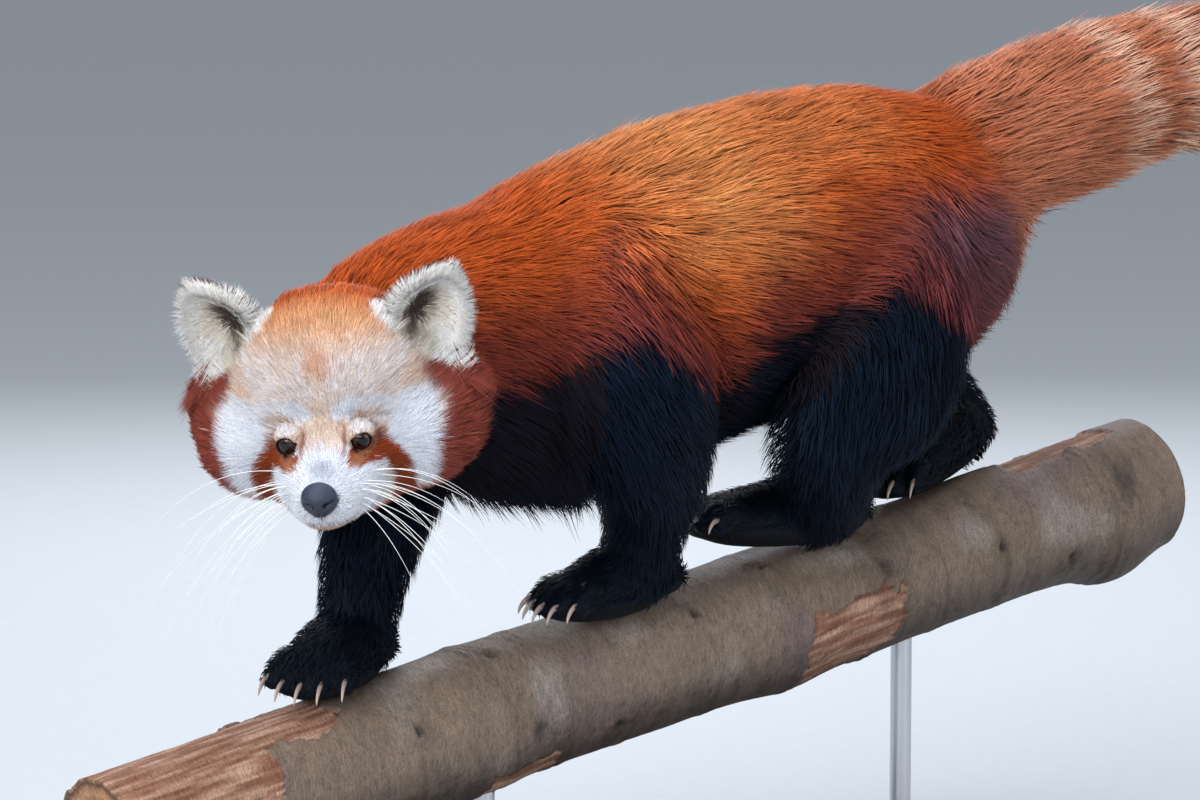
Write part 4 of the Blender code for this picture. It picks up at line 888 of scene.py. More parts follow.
def markings(points, normals):
    """Tip and root colours at each place of the animal, mixed by the limbs that it is near."""
    weights, _, nearness = closeness(points)
    sharp = weights**2
    sharp /= sharp.sum(0)
    parts = [(sharp[:-3].sum(0), body_colours(points, normals)), (sharp[-3], face_colours(points, normals)),
             (sharp[-2], ear_colours(points, normals, 1)), (sharp[-1], ear_colours(points, normals, -1))]
    return sum(w[:, None] * p.tip for w, p in parts), sum(w[:, None] * p.root for w, p in parts)


tips, roots = markings(SKIN_POINTS, SKIN_NORMALS)
# The skin is the dark undercoat, painted darker still than the roots as shade down between the locks.
colour_points(skin, "marking", 0.45 * roots + 0.25 * tips)
print("skin painted, mean colour", np.round(tips.mean(0), 3).tolist())

# %% [markdown]
# ## Fur
# The real coat is single hairs, which come away in small pointed locks wherever they part. Particle hair
# would render well but can't be kept as a solid, so each lock here is a thin closed spike with its
# base sunk in the skin. Neighbouring locks lean together into clumps, as hair does,
# and every lock's colours run from the dark root to the bright tip. The long locks bend once and take eight
# triangles, and the short ones on the face are straight and take four. Their tips are combed down to the
# height of the coat over the nearest skin, so that long hair follows a round cheek and doesn't stick out.

# %% One lock of hair, repeated
# Each kind has its triangles, and the place of its points on the lock's patch of the map.
KINDS = {
    "bent": (((0, 2, 4), (0, 4, 1), (0, 1, 3), (0, 3, 2), (1, 4, 3), (2, 5, 4), (4, 5, 3), (3, 5, 2)),
             ((0, 0), (1, 0), (0, 0.5), (0.5, 0.5), (1, 0.5), (0.5, 1))),
    "straight": (((0, 1, 2), (0, 3, 1), (0, 2, 3), (1, 3, 2)), ((0, 0), (1, 0), (0.5, 0.25), (0.5, 1))),
}
PATCH = 0.003
SKIN_TREE = BVHTree.FromObject(skin, bpy.context.evaluated_depsgraph_get())


def comb_down(places, rise, hug):
    """Moves places towards a height above the skin, by the share hug."""
    found = [SKIN_TREE.find_nearest(place)[:2] for place in places.tolist()]
    low = np.array([tuple(place) for place, _ in found])
    out = np.array([tuple(normal) for _, normal in found])
    return places + (low + out * rise[:, None] - places) * np.reshape(hug, (-1, 1))


def grow(name, roots, normals, place_on_map, seed, kind="bent", sink=0.0012, hug=0.7, clumps=((0.16, 0.45), (0.03, 0.25)),
         material=None, slot="coat_red", vary=0.15, deep=0.78, stray=0.0035):
    """A coat of closed locks at these roots, with its colours and its map; clumps are shares of centres and pulls."""
    draw = np.random.default_rng(seed)
    lie, length, rise, width, weights, _ = combed(roots, normals)
    count = len(roots)
    length = length * draw.normal(1.0, 0.15, count).clip(0.6, 1.4)
    rise = rise * draw.normal(1.0, 0.25, count).clip(0.35, 1.7)
    width = width * draw.normal(1.0, 0.15, count).clip(0.6, 1.5)
    side = unit(np.cross(lie, normals))
    lie = unit(lie + side * draw.normal(0, 0.14, count)[:, None])
    sway = side * (draw.normal(0, 0.035, count) * length)[:, None]
    middle = comb_down(roots + lie * (0.5 * length)[:, None] + normals * (0.62 * rise)[:, None], 0.66 * rise, hug) + sway
    tip = comb_down(middle + lie * (0.5 * length)[:, None] + normals * (0.38 * rise)[:, None], rise, hug) - sway
    tip[:, 2] -= 0.04 * length
    tone = np.zeros(count)
    for share, pull in clumps:
        tree = KDTree(count)
        for k in draw.permutation(count)[: max(8, int(count * share))]:
            tree.insert(roots[k], int(k))
        tree.balance()
        own = np.array([tree.find(root)[1] for root in roots])
        far = np.linalg.norm(roots - roots[own], axis=1)
        gather = pull * draw.uniform(0.5, 1.3, count) * np.exp(-((far / (0.45 * length)) ** 2))
        tip += (roots[own] + (tip[own] - roots[own]) * (length / length[own])[:, None] - tip) * gather[:, None]
        middle += (roots[own] + (middle[own] - roots[own]) * (length / length[own])[:, None] - middle) * (0.4 * gather)[:, None]
        tone += draw.normal(0, 0.6, count)[own]
    forward = unit(tip - roots)
    side = unit(np.cross(forward, normals))
    up = unit(np.cross(side, forward))
    roll = draw.normal(0, 0.3, count)[:, None]
    side, up = side * np.cos(roll) + up * np.sin(roll), up * np.cos(roll) - side * np.sin(roll)
    base = roots - normals * sink
    half, tall = side * (width / 2)[:, None], up * (0.40 * width)[:, None]
    calm = step(1.0, 2.4, eye_reach(head_frame(roots))) * (0.25 + 0.75 * (draw.random(count) < 0.4))
    seen = roots + lie * (0.7 * length)[:, None] + draw.normal(0, stray, (count, 3)) * calm[:, None]
    tips, dark = markings(seen, normals)
    mixed = draw.beta(2.2, 1.0, count)[:, None]
    tips = dark + (tips - dark) * (1 - (1 - mixed) * 2.2 * vary)
    bright = np.exp(vary * (draw.normal(0, 0.8, count) + tone) + 0.10 * noise(roots, 0.012, 51))[:, None]
    tips, dark = np.clip(tips * bright, 0, 0.93), np.clip(deep * dark * bright, 0, 0.9)
    if kind == "bent":
        verts = (base - 0.8 * half, base + 0.8 * half, middle - half - 0.3 * tall, middle + 0.7 * tall, middle + half - 0.3 * tall, tip)
        shade = (dark, dark, *[0.45 * dark + 0.55 * tips] * 3, tips)
        soft = (-0.4 * side, 0.4 * side, -0.4 * side, 0.3 * up, 0.4 * side, 0 * side)
    else:
        verts = (base - half, base + half, base + 1.2 * tall, tip)
        shade = (0.5 * dark + 0.5 * tips,) * 3 + (tips,)
        soft = (-0.35 * side, 0.35 * side, 0.2 * up, 0 * side)
    faces, patch = (np.array(table) for table in KINDS[kind])
    size = len(verts)
    obj = mesh_object(name, np.stack(verts, 1).reshape(-1, 3), (faces[None] + size * np.arange(count)[:, None, None]).reshape(-1, 3))
    colour_points(obj, "marking", np.stack(shade, 1).reshape(-1, 3))
    obj.data.normals_split_custom_set_from_vertices(unit(np.stack([normals + s for s in soft], 1).reshape(-1, 3)).tolist())
    corner = place_on_map(roots)[:, None, None, :] + (patch[faces][None] - 0.5) * PATCH
    obj.data.uv_layers.new(name="OFBake").uv.foreach_set("vector", corner.astype(np.float32).ravel())
    obj.data.materials.append(material)
    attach(obj, BODY)
    print(f"{name}: {count} locks, {len(faces) * count} triangles, {1000 * length.mean():.1f} mm long")
    return obj


# %% [markdown]
# The hair needs a finish of its own. Keratin has an index of refraction of about 1.55, and each hair is a
# smooth cylinder, so black fur shows cool, narrow highlights while red fur glows. The colour comes from the
# painted markings; a fine noise breaks it up further at the width of a few hairs, drawn coarser than the
# 0.05 mm of a real hair so that it shows.


# %% Finishes of hair and skin
def hair_finish(name, roughness, specular, tint):
    """Fur: painted colour, broken up at the width of a few hairs."""
    made, tree, shader = finish_named(name)
    paint = add(tree, "ShaderNodeAttribute", {"attribute_name": "marking"})
    where = add(tree, "ShaderNodeTexCoord")
    fine = add(tree, "ShaderNodeTexNoise", {"noise_dimensions": "3D"}, Vector=where.outputs["Object"], Scale=900.0, Detail=2.0, Roughness=0.6)
    spread = add(tree, "ShaderNodeMapRange", None, Value=fine.outputs["Fac"], From_Min=0.3, From_Max=0.7, To_Min=0.78, To_Max=1.20)
    scaled = add(tree, "ShaderNodeVectorMath", {"operation": "SCALE"}, Vector=paint.outputs["Color"], Scale=spread.outputs["Result"])
    tree.links.new(scaled.outputs["Vector"], shader.inputs["Base Color"])
    shader.inputs["Roughness"].default_value = roughness
    shader.inputs["IOR"].default_value = 1.55
    shader.inputs["Specular IOR Level"].default_value = specular
    shader.inputs["Specular Tint"].default_value = (*linear(tint), 1.0)
    return made


RUSSET_HAIR = hair_finish("russet guard hair", 0.62, 0.12, "#ffb890")
BLACK_HAIR = hair_finish("black leg hair", 0.50, 0.16, "#8fb4e8")
WHITE_HAIR = hair_finish("white face hair", 0.65, 0.12, "#ffffff")


def skin_finish():
    """Skin under fur: dull, painted dark as the undercoat and as the shade between the hairs, with the grain of short
    underfur.
    """
    made, tree, shader = finish_named("skin with short underfur")
    paint = add(tree, "ShaderNodeAttribute", {"attribute_name": "marking"})
    where = add(tree, "ShaderNodeTexCoord")
    grain = add(tree, "ShaderNodeTexNoise", None, Vector=where.outputs["Object"], Scale=700.0, Detail=3.0)
    bump = add(tree, "ShaderNodeBump", None, Height=grain.outputs["Fac"], Strength=0.5, Distance=0.0006)
    spread = add(tree, "ShaderNodeMapRange", None, Value=grain.outputs["Fac"], From_Min=0.3, From_Max=0.7, To_Min=0.7, To_Max=1.15)
    scaled = add(tree, "ShaderNodeVectorMath", {"operation": "SCALE"}, Vector=paint.outputs["Color"], Scale=spread.outputs["Result"])
    tree.links.new(scaled.outputs["Vector"], shader.inputs["Base Color"])
    tree.links.new(bump.outputs["Normal"], shader.inputs["Normal"])
    shader.inputs["Roughness"].default_value = 0.60
    shader.inputs["Specular IOR Level"].default_value = 0.15
    return made


skin.data.materials.clear()
skin.data.materials.append(skin_finish())
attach(skin, BODY)
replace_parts(skin, *[n for n in frame["nodes"] if not n.startswith(("eye", "nose", "perch", "stand"))])
print("finishes:", [m.name for m in bpy.data.materials if m.users])

# %% [markdown]
# ### Where each piece of the coat grows
# Each triangle of the skin is given to one piece of the coat by the limb it lies nearest, with the trunk
# parted halfway. Roots are then dealt out along the list of triangles at an even step of area, which spreads
# them far more evenly than free random picks. No hair grows on the lids, the nose pad, the line of the
# mouth or the soles.

# %% Share out the skin
middle = SKIN_POINTS[SKIN_TRIANGLES].mean(1)
facing = unit(SKIN_NORMALS[SKIN_TRIANGLES].mean(1))
cross = np.cross(SKIN_POINTS[SKIN_TRIANGLES[:, 1]] - SKIN_POINTS[SKIN_TRIANGLES[:, 0]], SKIN_POINTS[SKIN_TRIANGLES[:, 2]] - SKIN_POINTS[SKIN_TRIANGLES[:, 0]])
area = np.linalg.norm(cross, axis=1) / 2
_, stations, nearness = closeness(middle)
owner = np.array(NAMES)[nearness.argmin(0)]
own = head_frame(middle)
pair = np.c_[own[:, 0], np.abs(own[:, 1]), own[:, 2]]
bare = np.min([nearest(middle, line)[0] for line in MOUTH], axis=0) < 0.0009
bare |= np.linalg.norm((own - NOSE_CENTRE) / (0.0084, 0.0110, 0.0090), axis=1) < 0.90
bare |= eye_reach(own) < 0.90
on_foot = np.isin(owner, list(FEET))
branch_near = middle[:, 2] - branch_axis(middle[:, 1])[:, 2]
bare |= on_foot & (facing[:, 2] < -0.35)
on_head = owner == "head"
front_face = on_head & (own[:, 0] > -0.004)
ear = (owner == "ear_left") | (owner == "ear_right")
low_face = own[:, 2] < -0.004
PIECES = {
    "coat_brow": front_face & (pair[:, 1] < 0.066) & ~low_face,
    "coat_cheeks": front_face & (pair[:, 1] < 0.066) & low_face,
    "coat_ears": ear,
    "coat_ruff": on_head & ~(front_face & (pair[:, 1] < 0.066)),
    "coat_neck_and_shoulders": (owner == "neck") | ((owner == "trunk") & (middle[:, 1] < -0.045)),
    "coat_back": (owner == "trunk") & (middle[:, 1] >= -0.045) & (middle[:, 1] < 0.125),
    "coat_hips": (owner == "trunk") & (middle[:, 1] >= 0.125),
    "coat_forelegs": np.isin(owner, ["foreleg_left", "foreleg_right", "forepaw_left", "forepaw_right"]),
    "coat_hindlegs": np.isin(owner, ["hindleg_left", "hindleg_right", "hindfoot_left", "hindfoot_right"]),
    "coat_tail": owner == "tail",
}
print({name: round(float(area[mask & ~bare].sum()) * 1e4) for name, mask in PIECES.items()}, "square cm")


# %% [markdown]
# Each lock also gets a small patch of the map "OFBake", at the place of its root on an unwrap of the skin:
# round and along for a limb, and round the axis of the muzzle for the head. A piece that covers several
# limbs gives each its own tile.

# %% Dealing out roots, and the unwrap
def deal(mask, count, seed, density=None):
    """Roots spread evenly over some triangles, with the skin's normal there."""
    draw = np.random.default_rng(seed)
    picks = np.flatnonzero(mask)
    share = np.cumsum(area[picks] * (1.0 if density is None else density[picks]))
    at = (np.arange(count) + draw.random(count)) / count * share[-1]
    which = picks[np.searchsorted(share, at).clip(0, len(picks) - 1)]
    a, b = draw.random(count), draw.random(count)
    over = a + b > 1
    a[over], b[over] = 1 - a[over], 1 - b[over]
    corners = SKIN_TRIANGLES[which]
    mix = np.stack([1 - a - b, a, b], 1)[:, :, None]
    return (SKIN_POINTS[corners] * mix).sum(1), unit((SKIN_NORMALS[corners] * mix).sum(1))


def unwrap(names):
    """A function that places roots on the map: each of the named limbs in its own tile."""
    columns = math.ceil(math.sqrt(len(names)))
    rows = math.ceil(len(names) / columns)

    def place(points):
        _, stations, nearness = closeness(points)
        found = np.zeros((len(points), 2))
        index = [NAMES.index(name) for name in names]
        best = nearness[index].argmin(0)
        for k, name in enumerate(names):
            mine = best == k
            if not mine.any():
                continue
            if name in ("head", "ear_left", "ear_right"):
                local = head_frame(points[mine]) if name == "head" else into(ear_matrix(1 if name == "ear_left" else -1), points[mine])
                local = local - ((0.0, 0, -0.01) if name == "head" else (0, 0, 0.008))
                turn = np.arctan2(local[:, 2], local[:, 1])
                open_angle = np.arccos(unit(local)[:, 0]) / math.pi
                uv = 0.5 + 0.5 * np.stack([open_angle * np.cos(turn), open_angle * np.sin(turn)], 1)
            else:
                limb = LIMBS[NAMES.index(name)]
                station = stations[NAMES.index(name)][mine]
                along = limb.along[station]
                offset = points[mine] - limb.line[station]
                flat = unit(np.cross(along, (1.0, 0.0, 0.001)))
                turn = np.arctan2((offset * flat).sum(1), (offset * np.cross(flat, along)).sum(1))
                reach = limb.reach[station] + (offset * along).sum(1)
                uv = np.stack([turn / (2 * math.pi) + 0.5, (reach + 0.03) / (limb.reach[-1] + 0.06)], 1)
            tile = np.array((k % columns, k // columns))
            found[mine] = (uv.clip(0.01, 0.99) + tile) / (columns, rows)
        return found

    return place


print("a patch is", PATCH, "of the map across")

# %% [markdown]
# ### Growing the coat
# The face is the densest, with the shortest and thinnest hair. The black legs and the rust back follow, and
# the tail has the longest and loosest.

# %% The coat, piece by piece
density = np.ones(len(area))
density[on_head & (own[:, 0] > 0.03)] = 1.7
density[on_foot] = 1.6
LEG_NAMES = {end: [n for n in NAMES if n.startswith(end)] for end in ("fore", "hind")}
SHORT = {"kind": "straight", "sink": 0.0006, "hug": 0.9, "clumps": ((0.12, 0.35),), "vary": 0.09, "deep": 0.95, "stray": 0.0014}
COATS = {}
for k, (name, limbs, count, finish, slot, settings) in enumerate((
        ("coat_brow", ["head"], 45000, WHITE_HAIR, "coat_white", {**SHORT, "vary": 0.24}),
        ("coat_cheeks", ["head"], 45000, WHITE_HAIR, "coat_white", SHORT),
        ("coat_ears", ["ear_left", "ear_right"], 28000, WHITE_HAIR, "coat_white", {**SHORT, "hug": 0.0, "stray": 0.0008}),
        ("coat_ruff", ["head"], 16000, RUSSET_HAIR, "coat_red", {"sink": 0.0008, "hug": 0.55, "vary": 0.24}),
        ("coat_neck_and_shoulders", ["neck", "trunk"], 22000, RUSSET_HAIR, "coat_red", {}),
        ("coat_back", ["trunk"], 24000, RUSSET_HAIR, "coat_red", {"vary": 0.18}),
        ("coat_hips", ["trunk"], 21500, RUSSET_HAIR, "coat_red", {"hug": 0.5}),
        ("coat_forelegs", LEG_NAMES["fore"], 13500, BLACK_HAIR, "coat_black", {"vary": 0.3}),
        ("coat_hindlegs", LEG_NAMES["hind"], 13500, BLACK_HAIR, "coat_black", {"vary": 0.3}),
        ("coat_tail", ["tail"], 16000, RUSSET_HAIR, "coat_red", {"hug": 0.6}))):
    roots, normals = deal(PIECES[name] & ~bare, count, 100 + k, density)
    COATS[name] = grow(name, roots, normals, unwrap(limbs), 200 + k, material=finish, slot=slot, **settings)

# %% [markdown]
# ## Eyes
# A glass eye for a mount is a dark brown iris with a wide pupil under a clear, wet-looking cornea. One ball
# is enough: the ring colours are painted by distance from the gaze, and a clear coat gives the shine.


# %% Eyeballs
def eyeball(side):
    centre, gaze, outward, up = eye_place(side)
    mesh = ball((0, 0, 0), (1, 1, 1), None, 32)
    data = bpy.data.meshes.new("eyeball")
    mesh.to_mesh(data)
    mesh.free()
    points, _, triangles = numbers(data)
    bpy.data.meshes.remove(data)
    open_angle = np.arccos(np.clip(points[:, 2], -1, 1))
    bulge = 1 + 0.020 * step(1.0, 0.1, open_angle)
    placed = centre + EYE_RADIUS * bulge[:, None] * (points[:, :1] * outward * side + points[:, 1:2] * up + points[:, 2:] * gaze)
    obj = mesh_object("eye_left_glass" if side == 1 else "eye_right_glass", placed, triangles)
    grain = 0.5 + 0.5 * noise(np.c_[np.arctan2(points[:, 1], points[:, 0]) * 3, open_angle * 2, 0 * open_angle], 0.25, 61)
    iris = linear("#3c1d12") * (0.55 + 0.9 * grain)[:, None]
    colours = iris * step(0.36, 0.48, open_angle)[:, None] + linear("#050303") * step(0.48, 0.36, open_angle)[:, None]
    colours = colours * step(0.78, 0.56, open_angle)[:, None] + linear("#0b0706") * step(0.56, 0.78, open_angle)[:, None]
    colour_points(obj, "marking", colours)
    return obj


made, tree, shader = finish_named("cast glass eye")
paint = add(tree, "ShaderNodeAttribute", {"attribute_name": "marking"})
tree.links.new(paint.outputs["Color"], shader.inputs["Base Color"])
shader.inputs["Roughness"].default_value = 0.30
shader.inputs["Specular IOR Level"].default_value = 0.0
shader.inputs["Coat Weight"].default_value = 0.80
shader.inputs["Coat Roughness"].default_value = 0.03
for side, node in ((1, "eye_left"), (-1, "eye_right")):
    obj = eyeball(side)
    obj.data.materials.append(made)
    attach(obj, BODY)
    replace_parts(obj, node)
print("eyes of", EYE_RADIUS * 2000, "mm")

# %% [markdown]
# ## Nose
# The pad of the nose is bare, moist, finely pebbled skin: broad on top, narrower below, with a comma-shaped
# nostril on each side and a groove that runs down to the mouth. It is a ball whose points are moved by
# those few rules, with the pebbles left to bump.


# %% Nose pad
def nose_pad():
    mesh = ball((0, 0, 0), (1, 1, 1), None, 48)
    data = bpy.data.meshes.new("pad")
    mesh.transform(Matrix.Rotation(math.pi / 2, 4, "Y"))
    mesh.to_mesh(data)
    mesh.free()
    points, _, triangles = numbers(data)
    bpy.data.meshes.remove(data)
    x, y, z = points.T
    narrow = 1 - 0.24 * step(0.1, -1.0, z)
    shape = np.stack([x * (1 - 0.18 * step(0.2, 1.0, z)), y * narrow * (1 + 0.06 * step(0.0, 0.8, z)), z * np.where(z > 0, 1.12, 1.0)], 1)
    depth = np.zeros(len(points))
    for side in (1, -1):
        for (py, pz), size, deep in (((0.46, -0.12), (0.19, 0.17), 0.34), ((0.66, -0.02), (0.20, 0.10), 0.24), ((0.84, 0.10), (0.18, 0.08), 0.12)):
            depth += deep * np.exp(-(((y - side * py) / size[0]) ** 2 + ((z - pz) / size[1]) ** 2)) * step(0.0, 0.3, x)
    groove = 0.07 * np.exp(-((y / 0.07) ** 2)) * step(0.25, -0.35, z) * step(-0.1, 0.3, x)
    shape -= points * (np.minimum(depth, 0.40) + groove)[:, None]
    shape = shape * NOSE_RADII + NOSE_CENTRE
    placed = shape @ HEAD_TURN.T + np.array(HEAD_CENTRE)
    obj = mesh_object("nose_pad", placed, triangles)
    # The nostrils are painted near black as the shade inside them.
    dark = step(0.06, 0.26, depth)
    colours = linear("#28303e") * (1 - dark)[:, None] + linear("#040404") * dark[:, None]
    # The top of the pad is painted lighter and its underside darker, as painted light from above.
    colours = colours * (0.8 + 0.35 * step(-0.4, 0.9, z))[:, None]
    colour_points(obj, "marking", colours)
    return obj


made, tree, shader = finish_named("moist nose leather")
paint = add(tree, "ShaderNodeAttribute", {"attribute_name": "marking"})
where = add(tree, "ShaderNodeTexCoord")
# Pebbles of the rhinarium are about 0.4 mm across, so 2500 cells to a metre.
pebbles = add(tree, "ShaderNodeTexVoronoi", {"feature": "F1"}, Vector=where.outputs["Object"], Scale=2200.0)
bump = add(tree, "ShaderNodeBump", {"invert": True}, Height=pebbles.outputs["Distance"], Strength=0.45, Distance=0.0003)
tree.links.new(paint.outputs["Color"], shader.inputs["Base Color"])
tree.links.new(bump.outputs["Normal"], shader.inputs["Normal"])
shader.inputs["Roughness"].default_value = 0.38
shader.inputs["IOR"].default_value = 1.42
pad = nose_pad()
pad.data.materials.append(made)
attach(pad, BODY)
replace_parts(pad, "nose")
print("nose pad:", len(pad.data.polygons), "triangles")

# %% [markdown]
# ## Claws
# The claws are half drawn in, curved and the colour of pale horn. All twenty come from one rule, a bent
# cone swept along an arc, and are set on the tips of the toes.


# %% Claws
def claw(root, forward, length, sides=10, rings=9):
    """Points and triangles of a curved claw from its root to its tip."""
    t = np.linspace(0, 1, rings)
    knots = (0.0, 0.25, 0.5, 0.75, 1.0)
    x = np.interp(t, knots, (-0.30, 0.18, 0.56, 0.82, 0.90))
    z = np.interp(t, knots, (-0.02, 0.12, 0.02, -0.26, -0.55))
    for values in (x, z):
        values[1:-1] = (values[:-2] + 2 * values[1:-1] + values[2:]) / 4
    line = root + np.outer(x * length, forward) + np.outer(z * length, (0, 0, 1))
    radius = 0.0024 * (1 - t) ** 0.62 + 0.0001
    along = unit(np.gradient(line, axis=0))
    across = unit(np.cross(forward, (0, 0, 1)))
    turn = 2 * math.pi * np.arange(sides) / sides
    up = unit(np.cross(across, along))
    ring = line[:, None] + radius[:, None, None] * (0.72 * np.cos(turn)[None, :, None] * across + np.sin(turn)[None, :, None] * up[:, None])
    points = np.concatenate([ring.reshape(-1, 3), line[:1], line[-1:]])
    faces = []
    for i in range(rings - 1):
        for k in range(sides):
            a, b, c, d = i * sides + k, i * sides + (k + 1) % sides, (i + 1) * sides + (k + 1) % sides, (i + 1) * sides + k
            faces += [(a, b, c), (a, c, d)]
    last = (rings - 1) * sides
    for k in range(sides):
        faces += [(len(points) - 2, (k + 1) % sides, k), (len(points) - 1, last + k, last + (k + 1) % sides)]
    shade = np.concatenate([np.repeat(t, sides), [0, 1]])
    return points, np.array(faces), shade


def outwards(obj):
    """Turns every face of a closed mesh to the outside."""
    mesh = bmesh.new()
    mesh.from_mesh(obj.data)
    bmesh.ops.recalc_face_normals(mesh, faces=mesh.faces)
    mesh.to_mesh(obj.data)
    mesh.free()
    return obj


made, tree, shader = finish_named("pale claw horn")
paint = add(tree, "ShaderNodeAttribute", {"attribute_name": "marking"})
tree.links.new(paint.outputs["Color"], shader.inputs["Base Color"])
shader.inputs["Roughness"].default_value = 0.32
shader.inputs["IOR"].default_value = 1.54
count, points, faces, shades = 0, [], [], []
for name, toes in TOES.items():
    for root, forward in toes:
        p, f, s = claw(root, forward, 0.0125)
        points.append(p)
        faces.append(f + count)
        shades.append(s)
        count += len(p)
claws = outwards(mesh_object("claws", np.concatenate(points), np.concatenate(faces)))
shades = np.concatenate(shades)[:, None]
colour_points(claws, "marking", linear("#5d4843") * (1 - shades) + linear("#c4ac9b") * shades)
claws.data.materials.append(made)
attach(claws, BODY)
print("claws:", len(shades), "points")

# %% [markdown]
# ## Whiskers
# About a dozen stiff white whiskers stand out from each side of the muzzle and droop at their ends. Each is
# a curve; a small Geometry Nodes tree sweeps a round section along them all, thick at the root and thin at
# the tip, which keeps the thickness in one named input.


# %% Whiskers by Geometry Nodes
def whisker_tree(material):
    tree = bpy.data.node_groups.new("whisker sweep", "GeometryNodeTree")
    tree.interface.new_socket("Geometry", in_out="INPUT", socket_type="NodeSocketGeometry")
    thick = tree.interface.new_socket("Root radius", in_out="INPUT", socket_type="NodeSocketFloat")
    tree.interface.new_socket("Geometry", in_out="OUTPUT", socket_type="NodeSocketGeometry")
    given = add(tree, "NodeGroupInput")
    length = add(tree, "GeometryNodeSplineParameter")
    taper = add(tree, "ShaderNodeMapRange", None, Value=length.outputs["Factor"], From_Min=0.0, From_Max=1.0, To_Min=1.0, To_Max=0.22)
    radius = add(tree, "ShaderNodeMath", {"operation": "MULTIPLY"}, i0=taper.outputs["Result"], i1=given.outputs["Root radius"])
    profile = add(tree, "GeometryNodeCurvePrimitiveCircle", {"mode": "RADIUS"}, Resolution=5, Radius=1.0)
    swept = add(tree, "GeometryNodeCurveToMesh", None, Curve=given.outputs["Geometry"], Profile_Curve=profile.outputs["Curve"],
                Scale=radius.outputs["Value"])
    swept.inputs["Fill Caps"].default_value = True
    whole = add(tree, "GeometryNodeRealizeInstances", None, Geometry=swept.outputs["Mesh"])
    finish = add(tree, "GeometryNodeSetMaterial", None, Geometry=whole.outputs["Geometry"])
    finish.inputs["Material"].default_value = material
    add(tree, "NodeGroupOutput", None, Geometry=finish.outputs["Geometry"])
    return tree, thick.identifier


made, tree, shader = finish_named("white whisker keratin")
shader.inputs["Base Color"].default_value = (*linear("#f4f1ea"), 1.0)
shader.inputs["Roughness"].default_value = 0.35
shader.inputs["IOR"].default_value = 1.55
shader.inputs["Subsurface Weight"].default_value = 0.0
curves = bpy.data.curves.new("whiskers", "CURVE")
curves.dimensions = "3D"
draw = np.random.default_rng(5)
skin_tree = BVHTree.FromObject(skin, bpy.context.evaluated_depsgraph_get())
for side in (1, -1):
    for k in range(18):
        row, column = k % 5, k // 5
        start = np.array((0.068 - 0.0060 * column, side * 0.0190, -0.0250 - 0.0034 * row)) + draw.normal(0, 0.0006, 3)
        aim = unit(np.array((0.34 - 0.10 * column, side * 1.0, 0.10 - 0.20 * row)) + draw.normal(0, 0.07, 3))
        root = skin_tree.ray_cast(HEAD @ Vector(start + aim * 0.03), HEAD.to_3x3() @ Vector(-aim))[0]
        if root is None or (root - HEAD @ Vector(start)).length > 0.015:
            continue
        aim, down = HEAD_TURN @ aim, np.array((0, 0, -1.0))
        length = (0.048 + 0.011 * column + 0.002 * row) * draw.uniform(0.75, 1.2)
        length = min(length, (0.156 - root.x) / max(aim[0], 0.01))
        droop = draw.uniform(0.25, 0.85)
        t = np.linspace(0, 1, 14)
        line = np.array(root) + np.outer(t * length - 0.0015, aim) + np.outer(droop * length * t**2.2, down) - np.outer(0.16 * length * t**2, HEAD_TURN[:, 0])
        spline = curves.splines.new("POLY")
        spline.points.add(len(line) - 1)
        spline.points.foreach_set("co", np.c_[line, np.ones(len(line))].ravel())
whiskers = bpy.data.objects.new("whisker_lines", curves)
bpy.context.scene.collection.objects.link(whiskers)
sweep = whiskers.modifiers.new("sweep", "NODES")
sweep.node_group, thickness = whisker_tree(made)
sweep[thickness] = 0.00024
plain = bpy.data.meshes.new_from_object(whiskers.evaluated_get(bpy.context.evaluated_depsgraph_get()))
bpy.data.objects.remove(whiskers, do_unlink=True)
whiskers = bpy.data.objects.new("whiskers", plain)
bpy.context.scene.collection.objects.link(whiskers)
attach(whiskers, BODY)
print("whiskers:", len(plain.polygons), "faces")

# %% [markdown]
# ## The branch
# The perch is smooth-barked hardwood, stripped in places down to the orange wood. Its surface is a grid round
# and along the branch, and everything on it is a rule that moves the grid and paints it: broad swellings,
# fine cracks across, rings of wrinkles round three old knots, and peeled patches that sink by the bark's
# thickness, with ragged edges and fibres that run along. The two cut ends carry growth rings.

# %% The branch's grid
ALONG, AROUND = 430, 176
ys = np.linspace(BRANCH_FRONT_Y + 0.001, BRANCH_REAR_Y - 0.001, ALONG)
turns = 2 * math.pi * np.arange(AROUND) / AROUND
Y, TURN = np.meshgrid(ys, turns, indexing="ij")
Y, TURN = Y.ravel(), TURN.ravel()
axis = branch_axis(Y)
tangent = unit(np.array((0, 1.0, BRANCH_SLOPE)))
level, upright = np.array((1.0, 0, 0)), np.cross((1.0, 0, 0), tangent)
radial = np.outer(np.cos(TURN), level) + np.outer(np.sin(TURN), upright)
degrees = (np.degrees(TURN) + 180) % 360 - 180
swell = sum(size * np.exp(-(((Y - at) / 0.03) ** 2)) for at, size in {-0.10: 0.002, 0.13: 0.002, 0.42: 0.005}.items())
round_place = axis + radial * BRANCH_RADIUS
print("branch grid:", len(Y), "points")

# %% [markdown]
# The peeled patches are boxes in the branch's own two directions, y along and degrees round, whose edges are
# roughened with noise so that the bark breaks off raggedly.


